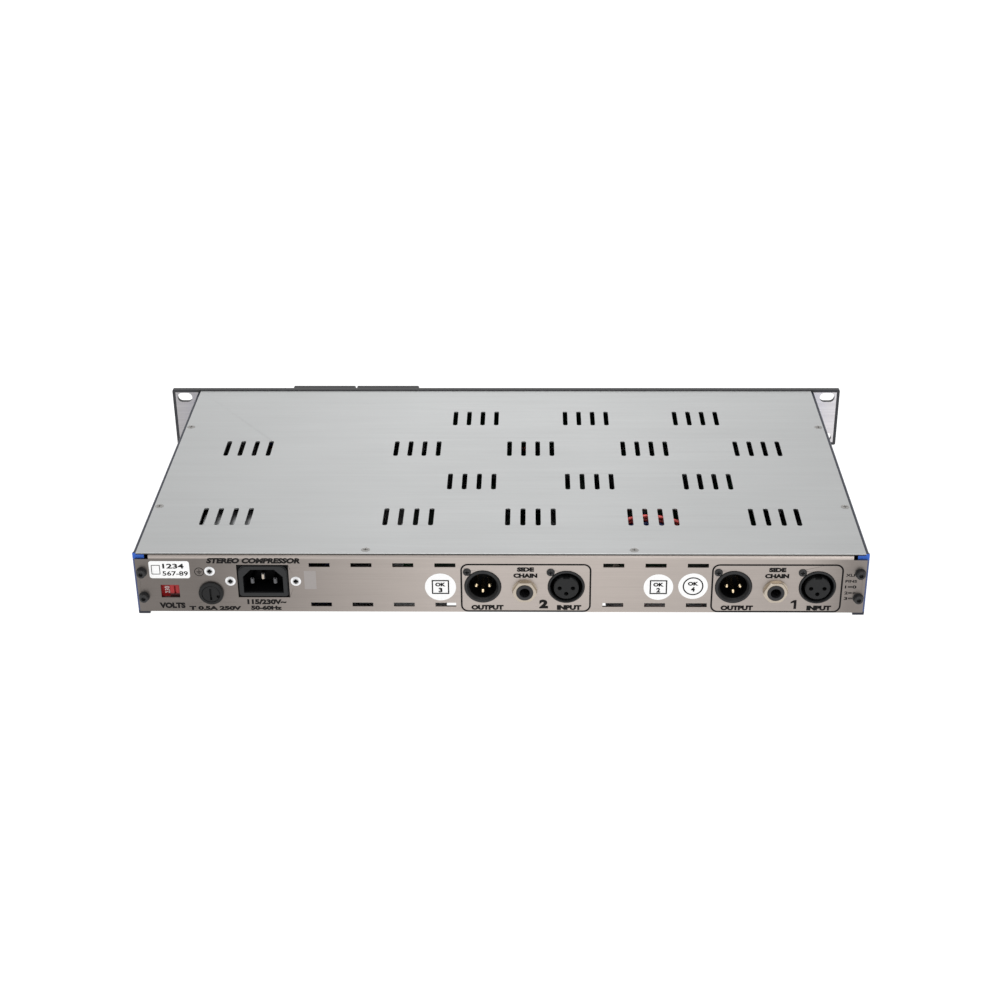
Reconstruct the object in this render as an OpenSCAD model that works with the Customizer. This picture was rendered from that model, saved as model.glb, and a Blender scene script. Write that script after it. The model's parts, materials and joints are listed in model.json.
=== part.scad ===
// Two-channel audio compressor in a 19-inch, one-unit rack case.
// +X is to the right seen from the front, +Y runs to the rear panel, and +Z is up.
// The origin is the middle of the rack hole pattern, on the back of the front panel.

/* [Front panel] */
// Width of the front panel
panel_w = 482.6; // [482:0.1:483]
// Height of the front panel
panel_h = 44; // [43.6:0.05:44.45]
// Thickness of the front panel
panel_t = 3.2; // [3:0.1:3.4]
// Sideways distance between the rack holes
rack_dx = 465.1; // [464.5:0.1:465.5]
// Height between the rack holes
rack_dz = 31.75; // [31.7:0.05:31.8]
// Length of a rack slot, end to end
rack_slot_l = 10.7; // [10:0.1:11]
// Width of a rack slot
rack_slot_w = 7.1; // [6.5:0.1:7.2]

/* [Case] */
// Width over the side rails
case_w = 445.8; // [444:0.1:446]
// Depth from the back of the front panel to the rear face
case_d = 238; // [238:1:244]
// Depth of the rails' underside below the middle
rail_low = 22.7; // [22:0.05:22.8]
// Height of the rails' top above the middle
rail_high = 20; // [19.9:0.1:20.1]
// Thickness of the rails and the rear panel
sheet_t = 1.5; // [1.4:0.1:1.6]
// Width of the rails' flanges
flange_w = 8.3; // [8:0.1:9]
// Width of the rails' rear tabs
tab_w = 7; // [6.8:0.1:7.4]
// Thickness of the top cover and the bottom plate
plate_t = 1.2; // [1.1:0.1:1.3]
// Width of the top cover
cover_w = 440.6; // [440:0.1:441]

/* [Vents] */
// Width of a slot in the top cover
slot_w = 3.2; // [2.8:0.1:3.6]
// Length of a slot in the top cover
slot_l = 22.7; // [21:0.1:23]
// Distance between the slots of a group
slot_pitch = 9.5; // [9:0.1:10]
// Length of a slot in the rear panel
rear_slot_l = 12.7; // [12:0.1:13]
// Height of a slot in the rear panel
rear_slot_h = 2.7; // [2.4:0.1:3]

/* [Rear sockets] */
// Distance between the two channels' sockets
channel_pitch = 152.4; // [152:0.1:153]
// Outside diameter of an XLR shell
xlr_d = 22.2; // [22:0.1:22.6]
// Bore of the side-chain jack
jack_bore_d = 6.5; // [6.4:0.05:6.6]
// Distance between the mains inlet's screws
inlet_pitch = 40; // [39.9:0.1:40.1]

/* [Front controls] */
// Diameter of a knob's skirt
knob_d = 19; // [17:0.5:20]
// Height of a knob above the panel
knob_h = 15; // [13:0.5:17]
// Width of a push button
button_w = 10; // [9:0.5:11]
// Width of a meter's bezel
meter_w = 45.3; // [44.8:0.1:45.5]
// Height of a meter's bezel
meter_h = 39.8; // [39:0.1:40]
// Depth of a meter's bezel in front of the panel
meter_out = 9.8; // [8:0.1:11]

/* [Hidden] */
$fn = 48;

// Case
half_w = case_w / 2;
bend_r = 1.6;
rail_end = case_d - sheet_t;
cover_top = rail_high + plate_t;
floor_low = sheet_t - rail_low;
floor_top = floor_low + plate_t;
cover_rear = case_d + 0.5;
rear_half = half_w - 1.3;
rear_low = -20.3;
rear_corner_z = 16.5;
rear_fold_x = 213.3;
tab_corner_r = 0.5;
flange_relief = 4;
rear_fold_r = 3;
rear_flange_y = case_d - 12;
front_tab_w = 14;

// Fasteners
screw_r = 1.5;
thread_r = 1.48;
hole_r = screw_r + 0.1;
flat_head_r = 2.6;
flat_head_h = 1.1;
pan_head_r = 2.5;
pan_head_h = 0.8;
cap_head_r = 2.7;
washer_r = 3.3;
side_screw_x = 217;
cover_screw_y = [61, 178];
floor_screw_y = [50, 190];
cover_rear_screw = [81.3, 234];
rear_screw_x = 218;
rear_screw_z = [-9.8, 7.4];
front_screw_x = 214;
front_screw_z = 12;

// Vent groups: the middle of each group of four slots
group_slots = 4;
wide_row_y = [94.7, 191.8];
narrow_row_y = [46.8, 143.3];
wide_row_x = [172.1, 57.8, -18.6, -95.2, -171.1];
narrow_row_x = [19.6, -56.9, -133.4];
rear_slot_x = [109.5, 84.1, 58.7, 33.2, -69, -94.5, -120];
rear_slot_z = [12.6, -15.2];
floor_notch_x = [-65, 33];
floor_notch_y = 222;

// Rear sockets, as places on channel 2; channel 1 is one pitch towards -X
output_at = [10.4, -2.3];
input_at = [-40.4, -2.4];
jack_at = [-15.1, -5];
xlr_screw_at = [9.55, 10.2];
xlr_box_w = 26;
xlr_back = case_d - 26;
xlr_front = case_d + 1;
output_bore_r = 8.4;
output_mouth_r = 9.6;
input_bore_r = 9.7;
input_mouth_r = 10.2;
xlr_floor = case_d - 15;
insert_r = 7.6;
pin_r = 1.2;
pin_places = [[-4.05, 0], [4.05, 0], [0, -3.8]];
jack_back = case_d - 24;
jack_thread_r = 5.2;
jack_nut_r = 7.6;

// Mains side
inlet_at = [144.3, 1.2];
inlet_hole = [31.5, 22.8];
inlet_shroud = [30, 21.6];
inlet_cavity = [24.4, 16.4];
inlet_back = case_d - 24;
inlet_floor = case_d - 16;
inlet_flange = [50, 25];
inlet_corner_r = [5, 2];
blade_low = -1.2;
earth_rise = 4;
earth_screw_at = [176.5, 8.1];
fuse_at = [176.6, -7];
fuse_bezel_r = 7.6;
fuse_barrel_r = 6.2;
fuse_cap_r = 5.6;
fuse_front = case_d + 2;
fuse_back = case_d - 31;
selector_at = [201.7, -6];
selector_window = [11.4, 8.9];
selector_slide_w = 6.1;
selector_back = case_d - 12;
selector_floor = case_d - 4.5;
selector_face = case_d - 1.9;

// Front controls: the middle of each one
knob_x = [-188, -152, -116, -80, -44, 32];
button_x = [-14, 6];
button_z = 7;
light_z = 15;
button_h = 6;
shaft_r = 3;
bushing_r = 3.5;
pot_w = 13;
knob_gap = 0.8;
board_y = 13;
board_t = 1.6;
toggle_at = [190, -2];
toggle_tilt = 12.5;
toggle_ball_r = 3;
toggle_light_at = [190, 13];
meter_mid_x = 108.55;
meter_step = 46.2;
meter_body = [40, 35.4];
meter_wall = 1.3;
meter_back = 16;
meter_view = [37.4, 22];
meter_view_at = [0, 5.3];
needle_z = -8.5;
needle_l = 22.5;
needle_rest = -40;

// Inside
board_z = -14;
board_top = board_z + board_t;
toroid_at = [172, 118];
toroid_r = 36;
toroid_hole_r = 11;
toroid_low = floor_top + 1;
toroid_top = 12;
power_board_x = [95, 212];
power_board_y = [162, 205];
main_board_x = [-208, 62];
main_board_y = [30, 207];
main_post_x = [-200, -73, 54];
main_post_y = [38, 120, 199];
power_post_x = [100, 205];
power_post_y = [167, 200];
can_x = [-192, -146, -38, 8];
can_y = 172;
can_w = 24;
module_x = [-170, -120, -70, -20, 30];
module_y = 105;
module_w = 26;
module_top = 6;
heatsink_top = 16.5;
wire_r = 1.1;
wire_sides = 6;
wire_steps = 4;
mains_wire_step = 3.2;
signal_wire_step = 2.6;

// ---- Shared shapes ----

// A flat shape drawn in X and Z, solid between two depths
module slab_y(y0, y1) {
    translate([0, y1, 0]) rotate([90, 0, 0]) linear_extrude(y1 - y0) children();
}

// A round bar along Y, at a place given as [x, z]
module rod_y(at, y0, y1, r) {
    translate([at[0], y0, at[1]]) rotate([-90, 0, 0]) cylinder(h = y1 - y0, r = r);
}

// A cone along Y
module cone_y(at, y0, y1, r0, r1) {
    translate([at[0], y0, at[1]]) rotate([-90, 0, 0]) cylinder(h = y1 - y0, r1 = r0, r2 = r1);
}

// A flat rectangle given by its middle and size
module rect(at, size) {
    translate([at[0] - size[0] / 2, at[1] - size[1] / 2]) square(size);
}

// A flat rectangle with round corners
module round_rect(at, size, r) {
    rect(at, [size[0] - 2 * r, size[1]]);
    rect(at, [size[0], size[1] - 2 * r]);
    for (sx = [-1, 1], sz = [-1, 1]) {
        translate([at[0] + sx * (size[0] / 2 - r), at[1] + sz * (size[1] / 2 - r)]) circle(r);
    }
}

// A block given by its lowest and highest corners
module block(low, high) {
    translate(low) cube(high - low);
}

// A round bar standing up from a height, at a place given as [x, y]
module post(at, z, h, r) {
    translate([at[0], at[1], z]) cylinder(h = h, r = r);
}

// A six-sided bar along Y, at a place given as [x, z]
module hex_y(at, y0, y1, r) {
    translate([at[0], y0, at[1]]) rotate([-90, 0, 0]) cylinder(h = y1 - y0, r = r, $fn = 6);
}

// A slot with round ends, along Y in a plan view
module plan_slot(at, w, l) {
    rect(at, [w, l - w]);
    for (s = [-1, 1]) translate([at[0], at[1] + s * (l - w) / 2]) circle(w / 2);
}

// A shape repeated for both channels
module both_channels() {
    for (c = [0, 1]) translate([-c * channel_pitch, 0, 0]) children();
}

// A flat-head screw lying along -Z below its head's top
module flat_screw(length) {
    difference() {
        union() {
            translate([0, 0, -flat_head_h]) cylinder(h = flat_head_h, r1 = screw_r, r2 = flat_head_r);
            translate([0, 0, -length]) cylinder(h = length - flat_head_h, r = thread_r);
        }
        for (a = [0, 90]) rotate([0, 0, a]) translate([-1.4, -0.3, -0.7]) cube([2.8, 0.6, 1]);
    }
}

// The hole for a flat-head screw through a plate below z = 0
module flat_screw_hole(depth) {
    translate([0, 0, -flat_head_h]) cylinder(h = flat_head_h + 0.05, r1 = hole_r, r2 = flat_head_r + 0.15);
    translate([0, 0, -depth - 1]) cylinder(h = depth + 1, r = hole_r);
}

// ---- Case ----

module front_panel() {
    color([0.13, 0.13, 0.14]) difference() {
        slab_y(-panel_t, 0) difference() {
            round_rect([0, 0], [panel_w, panel_h], 1.2);
            for (sx = [-1, 1], sz = [-1, 1]) rack_slot([sx * rack_dx / 2, sz * rack_dz / 2]);
            for (x = knob_x) translate([x, 0]) circle(bushing_r + 0.15);
            for (x = button_x, s = [-1, 1]) {
                round_rect([x, s * button_z], [button_w + 0.7, button_h + 0.7], 0.8);
                translate([x, s * light_z]) circle(1.6);
            }
            translate(toggle_light_at) circle(1.6);
            translate(toggle_at) circle(5.15);
            for (m = [-0.5, 0.5]) rect([meter_mid_x + m * meter_step, 0], meter_body + [0.6, 0.6]);
        }
        for (p = front_screw_places()) {
            translate([p[0], -panel_t, p[1]]) rotate([90, 0, 0]) flat_screw_hole(panel_t);
        }
    }
}

// One rack slot, drawn in X and Z
module rack_slot(at) {
    half = (rack_slot_l - rack_slot_w) / 2;
    rect(at, [2 * half, rack_slot_w]);
    for (s = [-1, 1]) translate([at[0] + s * half, at[1]]) circle(rack_slot_w / 2);
}

function front_screw_places() = [for (sx = [-1, 1], sz = [-1, 1]) [sx * front_screw_x, sz * front_screw_z]];

// The flat outline of the right-hand rail, with flanges this wide: a channel open towards the middle
module rail_outline(width) {
    span = rail_low + rail_high;
    mid = (rail_high - rail_low) / 2;
    intersection() {
        difference() {
            round_rect([half_w - 20, mid], [40, span], bend_r);
            round_rect([half_w - 20, mid], [40 - 2 * sheet_t, span - 2 * sheet_t], bend_r - sheet_t);
        }
        rect([half_w - width / 2, mid], [width, span + 1]);
    }
}

module rail() {
    span = rail_low + rail_high;
    mid = (rail_high - rail_low) / 2;
    color([0.1, 0.2, 0.45]) difference() {
        union() {
            slab_y(0, rail_end - flange_relief) rail_outline(flange_w);
            slab_y(rail_end - flange_relief, rail_end) rail_outline(tab_w);
            slab_y(0, sheet_t) translate([half_w - front_tab_w, sheet_t - rail_low]) {
                square([front_tab_w - sheet_t / 2, span - 2 * sheet_t]);
            }
            slab_y(rail_end - sheet_t, rail_end) {
                round_rect([half_w - tab_w / 2, mid], [tab_w, span], tab_corner_r);
            }
        }
        for (y = cover_screw_y) post([side_screw_x, y], 0, rail_high + 1, screw_r);
        for (y = floor_screw_y) {
            translate([side_screw_x, y, -rail_low]) mirror([0, 0, 1]) flat_screw_hole(sheet_t);
        }
        for (z = rear_screw_z) rod_y([rear_screw_x, z], rail_end - 3, rail_end + 1, screw_r);
        for (s = [-1, 1]) rod_y([front_screw_x, s * front_screw_z], -1, sheet_t + 1, screw_r);
    }
}

module right_rail() {
    rail();
}

module left_rail() {
    mirror([1, 0, 0]) rail();
}

// One group of four slots, along X
module slot_group(at) {
    for (i = [0 : group_slots - 1]) {
        plan_slot([at[0] + (i - (group_slots - 1) / 2) * slot_pitch, at[1]], slot_w, slot_l);
    }
}

module top_cover() {
    color([0.75, 0.76, 0.76]) difference() {
        translate([0, 0, rail_high]) linear_extrude(plate_t) difference() {
            translate([-cover_w / 2, 0.1]) square([cover_w, cover_rear - 0.1]);
            for (x = wide_row_x, y = wide_row_y) slot_group([x, y]);
            for (x = narrow_row_x, y = narrow_row_y) slot_group([x, y]);
        }
        for (p = cover_screw_places()) translate([p[0], p[1], cover_top]) flat_screw_hole(plate_t);
    }
}

function cover_screw_places() = [
    for (s = [-1, 1], y = cover_screw_y) [s * side_screw_x, y],
    for (s = [-1, 1]) [s * cover_rear_screw[0], cover_rear_screw[1]]
];

module bottom_plate() {
    edge_x = half_w - sheet_t - 0.4;
    front_y = sheet_t + 0.4;
    rear_y = rail_end - sheet_t - 0.4;
    color([0.7, 0.71, 0.72]) difference() {
        translate([0, 0, floor_low]) linear_extrude(plate_t) difference() {
            translate([-edge_x, front_y]) square([2 * edge_x, rear_y - front_y]);
            for (x = narrow_row_x, y = narrow_row_y) slot_group([x, y]);
            translate([floor_notch_x[0], floor_notch_y]) square([floor_notch_x[1] - floor_notch_x[0], 30]);
            for (s = [-1, 1], y = floor_screw_y) translate([s * side_screw_x, y]) circle(screw_r);
        }
    }
}

module rear_panel() {
    color([0.72, 0.69, 0.67]) difference() {
        union() {
            slab_y(rail_end, case_d) {
                rect([0, (rear_low + rear_corner_z) / 2], [2 * rear_half, rear_corner_z - rear_low]);
            }
            translate([-rear_fold_x, 0, 0]) rotate([90, 0, 90]) linear_extrude(2 * rear_fold_x) rear_fold();
        }
        rear_cutouts();
    }
}

// The folded top edge of the rear panel, drawn in Y and Z
module rear_fold() {
    bend = [case_d - rear_fold_r, rail_high - rear_fold_r];
    difference() {
        union() {
            translate([rear_flange_y, rail_high - sheet_t]) square([bend[0] - rear_flange_y, sheet_t]);
            translate([rail_end, 0]) square([sheet_t, bend[1]]);
            intersection() {
                translate(bend) circle(rear_fold_r);
                translate(bend) square(rear_fold_r);
            }
        }
        translate(bend) circle(rear_fold_r - sheet_t);
    }
}

module rear_cutouts() {
    y0 = rail_end - 2;
    y1 = case_d + 2;
    slab_y(y0, y1) {
        for (x = rear_slot_x, z = rear_slot_z) rect([x, z], [rear_slot_l, rear_slot_h]);
        rect(inlet_at, inlet_hole);
        rect(selector_at, selector_window);
    }
    both_channels() {
        for (p = [output_at, input_at]) {
            rod_y(p, y0, y1, xlr_d / 2 + 0.15);
            rod_y(p + xlr_screw_at, y0, y1, hole_r);
        }
        rod_y(jack_at, y0, y1, jack_thread_r + 0.1);
    }
    rod_y(fuse_at, y0, y1, fuse_barrel_r + 0.1);
    for (p = mains_screw_places()) cone_y(p, rail_end - 1, case_d + 0.1, 0.85, 3.35);
    for (sx = [-1, 1], z = rear_screw_z) rod_y([sx * rear_screw_x, z], y0, y1, hole_r);
    for (s = [-1, 1]) post([s * cover_rear_screw[0], cover_rear_screw[1]], 15, 8, screw_r);
}

// ---- Screws ----

module cover_screws() {
    color([0.72, 0.72, 0.73]) {
        for (p = cover_screw_places()) translate([p[0], p[1], cover_top]) flat_screw(5);
        for (s = [-1, 1], y = floor_screw_y) {
            translate([s * side_screw_x, y, -rail_low]) mirror([0, 0, 1]) flat_screw(5);
        }
    }
}

module front_screws() {
    color([0.1, 0.1, 0.1]) for (p = front_screw_places()) {
        translate([p[0], -panel_t, p[1]]) rotate([90, 0, 0]) flat_screw(8);
    }
}

// A socket-head screw whose head sits on y0, with its thread going forward
module cap_screw_y(at, y0, head_h, length) {
    difference() {
        union() {
            rod_y(at, y0, y0 + head_h - 0.4, cap_head_r);
            cone_y(at, y0 + head_h - 0.4, y0 + head_h, cap_head_r, cap_head_r - 0.4);
            rod_y(at, y0 - length, y0, thread_r);
        }
        hex_y(at, y0 + head_h - 1.6, y0 + head_h + 0.4, 1.45);
    }
}

module rear_panel_screws() {
    color([0.08, 0.08, 0.08]) for (sx = [-1, 1], z = rear_screw_z) {
        cap_screw_y([sx * rear_screw_x, z], case_d + 0.5, 3, 8);
    }
}

module rear_panel_washers() {
    color([0.08, 0.08, 0.08]) for (sx = [-1, 1], z = rear_screw_z) difference() {
        rod_y([sx * rear_screw_x, z], case_d, case_d + 0.5, washer_r);
        rod_y([sx * rear_screw_x, z], case_d - 1, case_d + 1, hole_r);
    }
}

// ---- Mains side ----

function mains_screw_places() = [
    [inlet_at[0] - inlet_pitch / 2, inlet_at[1]],
    [inlet_at[0] + inlet_pitch / 2, inlet_at[1]],
    earth_screw_at
];

// The mains plug's outline, a rectangle with its two top corners cut
module inlet_outline() {
    w = inlet_cavity[0] / 2;
    h = inlet_cavity[1] / 2;
    cut = 5;
    translate(inlet_at) {
        polygon([[-w, -h], [w, -h], [w, h - cut], [w - cut, h], [cut - w, h], [-w, h - cut]]);
    }
}

// The shroud's outline, this much smaller all round, with rounder corners at its top than at its bottom
module inlet_rim(inset) {
    w = inlet_shroud[0] - 2 * inset;
    h = inlet_shroud[1] - 2 * inset;
    round_rect(inlet_at, [w, h], inlet_corner_r[0]);
    round_rect(inlet_at - [0, h / 4], [w, h / 2], inlet_corner_r[1]);
}

module inlet_body() {
    color([0.16, 0.16, 0.17]) difference() {
        union() {
            slab_y(rail_end - 3.1, rail_end - 0.1) round_rect(inlet_at, inlet_flange, 3);
            slab_y(rail_end - 0.1, case_d - 0.3) inlet_rim(0);
            slab_y(case_d - 0.3, case_d + 0.3) inlet_rim(0.5);
            slab_y(inlet_back, rail_end - 3.1) rect(inlet_at, [29, 22]);
        }
        slab_y(inlet_floor, case_d + 1) inlet_outline();
        for (s = [-1, 1]) {
            rod_y(inlet_at + [s * inlet_pitch / 2, 0], rail_end - 4, rail_end + 1, hole_r);
        }
    }
}

// One flat contact with a narrower tip, and the tab that its wire is pushed on
module inlet_blade(at, tip) {
    slab_y(inlet_floor, tip - 1) round_rect(at, [2, 4], 0.5);
    slab_y(tip - 1, tip) round_rect(at, [1.3, 3.2], 0.4);
    slab_y(inlet_back - 7, inlet_back) rect(at, [0.8, 4.8]);
}

module inlet_blades() {
    color([0.85, 0.83, 0.78]) {
        inlet_blade(inlet_at + [0, blade_low + earth_rise], case_d - 0.6);
        for (s = [-1, 1]) inlet_blade(inlet_at + [7 * s, blade_low], case_d - 2);
    }
}

module mains_screws() {
    color([0.85, 0.85, 0.86]) for (p = mains_screw_places()) difference() {
        union() {
            cone_y(p, rail_end, case_d, screw_r, 3.2);
            rod_y(p, rail_end - 8, rail_end, screw_r);
            cone_y(p, case_d, case_d + 0.35, 3.2, 2.2);
        }
        slab_y(case_d - 1.1, case_d + 1) {
            rect(p, [3, 0.8]);
            rect(p, [0.8, 3]);
        }
        rod_y(p, case_d - 1.6, case_d + 1, 0.75);
    }
    color([0.85, 0.85, 0.86]) difference() {
        rod_y(earth_screw_at, rail_end - 6, rail_end - 3.4, 3);
        rod_y(earth_screw_at, rail_end - 9, rail_end, screw_r + 0.05);
    }
}

module fuse_holder() {
    color([0.1, 0.1, 0.1]) difference() {
        union() {
            rod_y(fuse_at, case_d, fuse_front - 0.6, fuse_bezel_r);
            cone_y(fuse_at, fuse_front - 0.6, fuse_front, fuse_bezel_r, fuse_bezel_r - 0.6);
            rod_y(fuse_at, fuse_back, case_d, fuse_barrel_r);
        }
        rod_y(fuse_at, case_d - 3, fuse_front + 1, fuse_cap_r + 0.08);
        rod_y(fuse_at, fuse_back + 1.5, case_d, 4.6);
    }
}

module fuse_carrier() {
    color([0.2, 0.2, 0.2]) difference() {
        rod_y(fuse_at, fuse_back + 10, case_d - 3.4, 4.3);
        rod_y(fuse_at, fuse_back + 9, case_d - 8, 2.65);
        rod_y(fuse_at, case_d - 9, case_d - 3, 1.55);
    }
}

module fuse_link() {
    color([0.85, 0.87, 0.88]) rod_y(fuse_at, fuse_back + 2.6, fuse_back + 22.6, 2.6);
}

module fuse_cap() {
    color([0.07, 0.07, 0.07]) difference() {
        union() {
            rod_y(fuse_at, case_d - 2.6, fuse_front - 0.3, fuse_cap_r);
            cone_y(fuse_at, fuse_front - 0.3, fuse_front + 0.2, fuse_cap_r, fuse_cap_r - 0.5);
            rod_y(fuse_at, case_d - 7.4, case_d - 2.6, 1.5);
        }
        slab_y(fuse_front - 1.4, fuse_front + 1) rect(fuse_at, [1.3, 8]);
        rod_y(fuse_at + [-4.6, -1.5], fuse_front - 1.2, fuse_front + 1, 1.2);
    }
}

module selector_housing() {
    color([0.35, 0.05, 0.06]) difference() {
        slab_y(selector_back, rail_end - 0.1) rect(selector_at, selector_window + [5, 4]);
        slab_y(selector_floor, rail_end + 1) rect(selector_at, selector_window + [0.6, 0.6]);
    }
}

module selector_slider() {
    x0 = selector_at[0] - selector_window[0] / 2 + 0.1;
    color([0.8, 0.12, 0.12]) difference() {
        slab_y(selector_floor + 0.05, selector_face) {
            rect([x0 + selector_slide_w / 2, selector_at[1]], [selector_slide_w, selector_window[1] - 0.3]);
        }
        slab_y(selector_face - 1.6, case_d) rect([x0 + selector_slide_w / 2, selector_at[1]], [1.2, 5.6]);
    }
}

// ---- Audio sockets ----

// The block behind the panel and the round shell that stands through it, with its bore and wider mouth
module xlr_shell(at, bore_r, mouth_r, mouth_depth) {
    difference() {
        union() {
            slab_y(xlr_back, rail_end - 0.1) rect(at, [xlr_box_w, xlr_box_w]);
            rod_y(at, rail_end - 0.1, xlr_front - 0.5, xlr_d / 2);
            cone_y(at, xlr_front - 0.5, xlr_front, xlr_d / 2, xlr_d / 2 - 0.5);
        }
        rod_y(at, xlr_floor, xlr_front + 1, bore_r);
        cone_y(at, xlr_front - mouth_depth, xlr_front, bore_r, mouth_r);
        rod_y(at + xlr_screw_at, rail_end - 8, rail_end + 1, screw_r);
    }
}

module output_xlr_shells() {
    color([0.13, 0.14, 0.15]) both_channels() xlr_shell(output_at, output_bore_r, output_mouth_r, 2.2);
}

module output_xlr_pins() {
    tip = case_d - 0.6;
    color([0.85, 0.66, 0.3]) both_channels() for (p = pin_places) {
        rod_y(output_at + p, xlr_floor, tip - 0.8, pin_r);
        cone_y(output_at + p, tip - 0.8, tip, pin_r, 0.6);
    }
}

module input_xlr_shells() {
    color([0.13, 0.14, 0.15]) both_channels() xlr_shell(input_at, input_bore_r, input_mouth_r, 0.8);
}

module input_xlr_inserts() {
    front = case_d + 1.8;
    color([0.25, 0.27, 0.28]) both_channels() difference() {
        union() {
            rod_y(input_at, xlr_floor, front - 0.5, insert_r);
            cone_y(input_at, front - 0.5, front, insert_r, insert_r - 0.5);
        }
        for (p = pin_places) rod_y(input_at + p, xlr_floor + 1, front + 1, 1.35);
        slab_y(case_d - 9, front + 1) rect(input_at + [0, insert_r], [4, 2.2]);
    }
}

// Low round heads with a cross recess
module xlr_screws() {
    color([0.08, 0.08, 0.08]) both_channels() for (at = [output_at, input_at]) {
        p = at + xlr_screw_at;
        difference() {
            union() {
                rod_y(p, case_d, case_d + pan_head_h / 2, pan_head_r);
                cone_y(p, case_d + pan_head_h / 2, case_d + pan_head_h, pan_head_r, pan_head_r - 0.7);
                rod_y(p, case_d - 8, case_d, thread_r);
            }
            slab_y(case_d - 0.6, case_d + 1) {
                rect(p, [2.8, 0.7]);
                rect(p, [0.7, 2.8]);
            }
        }
    }
}

module sidechain_jacks() {
    color([0.1, 0.1, 0.1]) both_channels() difference() {
        union() {
            slab_y(jack_back, rail_end - 0.1) rect(jack_at, [17, 17]);
            rod_y(jack_at, rail_end - 0.1, case_d + 3.2, jack_thread_r);
        }
        rod_y(jack_at, jack_back + 2, case_d + 4, jack_bore_d / 2);
    }
}

module jack_nuts() {
    color([0.8, 0.78, 0.74]) both_channels() difference() {
        union() {
            rod_y(jack_at, case_d, case_d + 0.6, jack_nut_r);
            intersection() {
                hex_y(jack_at, case_d + 0.6, case_d + 2.8, jack_nut_r);
                cone_y(jack_at, case_d, case_d + 3, jack_nut_r + 1.1, jack_nut_r - 0.7);
            }
        }
        rod_y(jack_at, case_d - 1, case_d + 4, jack_thread_r + 0.05);
    }
}

// ---- Power supply ----

module mains_transformer() {
    mid_r = (toroid_r + toroid_hole_r) / 2;
    size = [toroid_r - toroid_hole_r, toroid_top - toroid_low];
    color([0.12, 0.12, 0.13]) translate([toroid_at[0], toroid_at[1], toroid_low]) rotate_extrude() {
        round_rect([mid_r, size[1] / 2], size, 6);
    }
}

module transformer_clamp() {
    color([0.75, 0.75, 0.76]) translate([toroid_at[0], toroid_at[1], 0]) {
        translate([0, 0, floor_top]) cylinder(h = toroid_low - floor_top, r = 30);
        translate([0, 0, floor_top]) cylinder(h = toroid_top + 4 - floor_top, r = 3);
        translate([0, 0, toroid_top]) cylinder(h = 1.5, r = 22);
        translate([0, 0, toroid_top + 1.5]) cylinder(h = 3, r = 5.5, $fn = 6);
    }
}

// A circuit board with a hole at each post
module board(x, y, post_x, post_y) {
    color([0.1, 0.35, 0.16]) difference() {
        block([x[0], y[0], board_z], [x[1], y[1], board_top]);
        for (px = post_x, py = post_y) post([px, py], board_z - 1, board_t + 2, hole_r);
    }
}

module power_board() {
    board(power_board_x, power_board_y, power_post_x, power_post_y);
}

// A base with upright fins and a folded top edge along its rear
module heatsink() {
    fins = 7;
    fin_t = 1.6;
    step = 6;
    low = [150, 176];
    high = [low[0] + (fins - 1) * step + fin_t, 198];
    color([0.7, 0.71, 0.72]) {
        block([low[0], low[1], board_top], [high[0], high[1], board_top + 3]);
        for (i = [0 : fins - 1]) {
            x = low[0] + i * step;
            block([x, low[1], board_top], [x + fin_t, high[1], heatsink_top]);
        }
        block([low[0], low[1], heatsink_top - fin_t], [high[0], high[1], heatsink_top]);
    }
}

module capacitors() {
    color([0.12, 0.14, 0.25]) {
        for (x = [108, 128], y = [174, 193]) post([x, y], board_top, 25, 7.5);
        for (x = [-190 : 30 : 40]) post([x, 62], board_top, 12, 4);
        for (x = [-180 : 30 : 30]) post([x, 146], board_top, 12, 4);
    }
}

// ---- Audio boards ----

module main_board() {
    board(main_board_x, main_board_y, main_post_x, main_post_y);
}

// One hexagonal post with the screw that holds the board down
module standoff(at) {
    translate([at[0], at[1], floor_top]) cylinder(h = board_z - floor_top, r = 3, $fn = 6);
    post(at, board_z, board_t, screw_r);
    post(at, board_top, 2, 2.7);
}

module board_standoffs() {
    color([0.8, 0.75, 0.55]) {
        for (x = main_post_x, y = main_post_y) standoff([x, y]);
        for (x = power_post_x, y = power_post_y) standoff([x, y]);
    }
}

module gain_modules() {
    half = module_w / 2;
    color([0.1, 0.1, 0.11]) for (x = module_x) {
        block([x - half, module_y - half, board_top + 3], [x + half, module_y + half, module_top]);
        for (sx = [-1, 1], i = [-2 : 2]) post([x + sx * 10, module_y + i * 4], board_top, 3, 0.5);
    }
}

module audio_transformers() {
    color([0.62, 0.63, 0.64]) for (x = can_x) {
        translate([0, 0, board_top]) linear_extrude(24) round_rect([x, can_y], [can_w, can_w], 2);
    }
}

module board_chips() {
    color([0.07, 0.07, 0.08]) for (x = [-195 : 25 : 45], y = [48, 78]) {
        block([x - 5, y - 3.3, board_top + 0.6], [x + 5, y + 3.3, board_top + 4]);
        for (i = [-1.5 : 1.5], s = [-1, 1]) post([x + i * 2.5, y + s * 2.6], board_top, 0.6, 0.3);
    }
}

// ---- Front controls ----

module control_board() {
    color([0.1, 0.35, 0.16]) slab_y(board_y, board_y + board_t) rect([-74, 0], [264, 34]);
}

module potentiometers() {
    color([0.55, 0.56, 0.5]) for (x = knob_x) {
        difference() {
            union() {
                slab_y(3, board_y - 1) round_rect([x, 0], [pot_w, pot_w], 1.5);
                rod_y([x, 0], -panel_t - 3, 3, bushing_r);
            }
            rod_y([x, 0], -panel_t - 4, board_y - 3, shaft_r + 0.06);
        }
        for (i = [-1 : 1]) rod_y([x + i * 4, -4], board_y - 1, board_y, 0.5);
    }
}

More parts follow.
